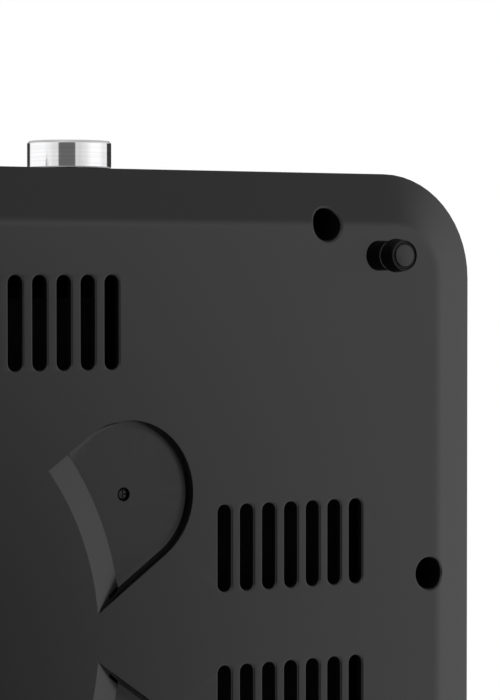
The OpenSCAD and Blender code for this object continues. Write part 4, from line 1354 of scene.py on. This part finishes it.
@dataclass
class Studio:
    """White studio: a wrap of soft light, a pale floor that only shows from above, and a key light."""

    below: float = 0.83
    above: float = 0.55
    white: float = 1.0
    floor_size: float = 30000.0
    panels: tuple[SoftPanel, ...] = (
        SoftPanel((0.93, 0.1, -0.2), 35.0, 60.0, 0.97),
        SoftPanel((0.6, 0.05, -0.8), 20.0, 42.0, 1.17),
        SoftPanel((0.3, -0.9, -0.45), 18.0, 50.0, 0.54),
        SoftPanel((-0.795, 0.0, 0.605), 20.0, 60.0, 1.12),
        SoftPanel((-0.574, -0.026, -0.818), 22.6, 23.8, 0.14),
        SoftPanel((0.56, -0.36, 0.83), 45.0, 47.2, 0.04, squeeze=9.0),
    )
    scrim_place: tuple[float, float, float] = (260.0, 170.0, -720.0)
    scrim_r: float = 540.0
    scrim_facets: int = 64
    key_place: tuple[float, float, float] = (-1300.0, 500.0, 1900.0)
    key_d: float = 1600.0
    key_power: float = 26.0

    def build(self) -> None:
        """Builds the light and the floor."""
        self.light_world()
        self.light_key()
        self.hang_scrim()
        self.lay_floor()

    def light_world(self) -> None:
        """Wraps the object in the soft light; what lies behind it stays plain white."""
        world = bpy.data.worlds.new("studio")
        world.use_nodes = True
        bpy.context.scene.world = world
        table = NodeTable(world.node_tree)
        world.node_tree.nodes.clear()
        way = table.add("ShaderNodeTexCoord").outputs["Generated"]
        height = table.add("ShaderNodeSeparateXYZ", Vector=way).outputs[2]
        light = table.remap(height, -0.1, 0.35, self.below, self.above, smooth=True)
        for panel in self.panels:
            wide = table.work("MULTIPLY", way, (1.0, panel.squeeze, 1.0), vector=True)
            unit = table.work("NORMALIZE", wide, vector=True)
            aim = table.work("DOT_PRODUCT", unit, Vector(panel.toward).normalized(), vector=True)
            faded, full = (math.cos(math.radians(angle)) for angle in (panel.outer, panel.inner))
            mix = table.add("ShaderNodeMix", {"data_type": "FLOAT"})
            floats = [s for s in mix.inputs if s.type == "VALUE"]
            share = table.remap(aim, faded, full, smooth=True)
            for socket, value in zip(floats, (share, light, panel.level)):
                table.feed(socket, value)
            light = next(s for s in mix.outputs if s.type == "VALUE")
        wrap = table.add("ShaderNodeBackground", Color=(1, 1, 1, 1), Strength=light).outputs[0]
        plain = table.add("ShaderNodeBackground", Color=(1, 1, 1, 1), Strength=self.white).outputs[0]
        seen = table.add("ShaderNodeLightPath").outputs["Is Camera Ray"]
        table.feed(table.add("ShaderNodeOutputWorld").inputs[0], table.choose(seen, wrap, plain))

    def light_key(self) -> None:
        """Hangs one large soft light over the left rear, for the shadows on the floor."""
        lamp = bpy.data.lights.new("key", "AREA")
        lamp.shape, lamp.size, lamp.energy = "DISK", self.key_d * MM, self.key_power
        key = bpy.data.objects.new("key", lamp)
        key.location = tuple(value * MM for value in self.key_place)
        key.rotation_euler = (-Vector(key.location)).to_track_quat("-Z", "Y").to_euler()
        key.visible_camera = key.visible_glossy = False
        bpy.context.scene.collection.objects.link(key)

    def covered(self, piece: Piece, hidden: Sequence[str]) -> NodeTable:
        """Gives a piece of the studio a material with its own name.

        Args:
            piece: The piece.
            hidden: Kinds of ray that pass it by.

        Returns:
            The material's nodes.
        """
        for ray in hidden:
            setattr(piece, f"visible_{ray}", False)
        material = bpy.data.materials.new(piece.name)
        material.use_nodes = True
        piece.data.materials.append(material)
        return NodeTable(material.node_tree)

    def hang_scrim(self) -> None:
        """Hangs a soft grey scrim below the left half, which only dims what shiny faces mirror."""
        middle, reach = Vector(self.scrim_place) * MM, self.scrim_r * MM
        shape = bmesh.new()
        bmesh.ops.create_circle(shape, cap_ends=True, segments=self.scrim_facets, radius=reach)
        bmesh.ops.translate(shape, vec=middle, verts=shape.verts)
        scrim = link("grey_scrim", shape)
        table = self.covered(scrim, ("camera", "diffuse", "transmission", "shadow"))
        nodes = table.tree.nodes
        nodes.remove(nodes["Principled BSDF"])
        place = table.add("ShaderNodeTexCoord").outputs["Object"]
        aside = table.work("SUBTRACT", place, middle, vector=True)
        clear = table.remap(table.work("LENGTH", aside, vector=True), 0.0, reach, smooth=True)
        through = table.add("ShaderNodeBsdfTransparent", Color=clear).outputs[0]
        table.feed(nodes["Material Output"].inputs["Surface"], through)

    def lay_floor(self) -> None:
        """Lays the pale floor, which is clear from below and takes no part in the light on the object."""
        half = self.floor_size / 2
        corners = ((-half, -half, 0), (half, -half, 0), (half, half, 0), (-half, half, 0))
        shape = bmesh.new()
        shape.faces.new([shape.verts.new(Vector(corner) * MM) for corner in corners])
        floor = link("pale_floor", shape)
        table = self.covered(floor, ("diffuse", "glossy", "transmission", "shadow"))
        nodes = table.tree.nodes
        shader = nodes["Principled BSDF"]
        paint = (("Base Color", (0.86, 0.86, 0.86, 1)), ("Roughness", 0.9), ("Specular IOR Level", 0.1))
        for key, value in paint:
            table.feed(shader.inputs[key], value)
        under = table.add("ShaderNodeNewGeometry").outputs["Backfacing"]
        clear = table.add("ShaderNodeBsdfTransparent").outputs[0]
        surface = table.choose(under, shader.outputs[0], clear)
        table.feed(nodes["Material Output"].inputs["Surface"], surface)


@dataclass
class Viewpoint:
    """Camera below the appliance, level with its underside's near corner and turned to the side."""

    target: tuple[float, float, float] = (152.6, -95.0, 16.0)
    distance: float = 1029.0
    turn: float = 32.31
    tilt: float = 1.51
    lens: float = 154.7

    def build(self) -> None:
        """Places the camera and makes it the scene's."""
        turn, tilt = math.radians(self.turn), math.radians(self.tilt)
        ahead = Vector((math.sin(turn) * math.cos(tilt), math.sin(tilt), math.cos(turn) * math.cos(tilt)))
        right = Vector((math.cos(turn), 0, -math.sin(turn)))
        up = right.cross(ahead)
        data = bpy.data.cameras.new("camera")
        data.lens = self.lens
        camera = bpy.data.objects.new("camera", data)
        bpy.context.scene.collection.objects.link(camera)
        place = Matrix((right, up, -ahead)).transposed().to_4x4()
        place.translation = (Vector(self.target) - ahead * self.distance) * MM
        camera.matrix_world = place
        bpy.context.scene.camera = camera


def main() -> None:
    """Loads the solids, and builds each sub-assembly."""
    logging.basicConfig(level=logging.INFO, format="%(name)s: %(message)s", stream=sys.stdout)
    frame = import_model()
    bpy.context.scene.view_settings.view_transform = "Standard"
    Viewpoint().build()
    Studio().build()
    pan = BasePan()
    pan.build()
    Feet().build()
    BaseScrews(pan).build()
    Housing().build()
    for side in Side:
        Burner(side).build()
        Control(side).build()
    CordBush().build()
    Insides().build(frame["nodes"])


if __name__ == "__main__":
    main()
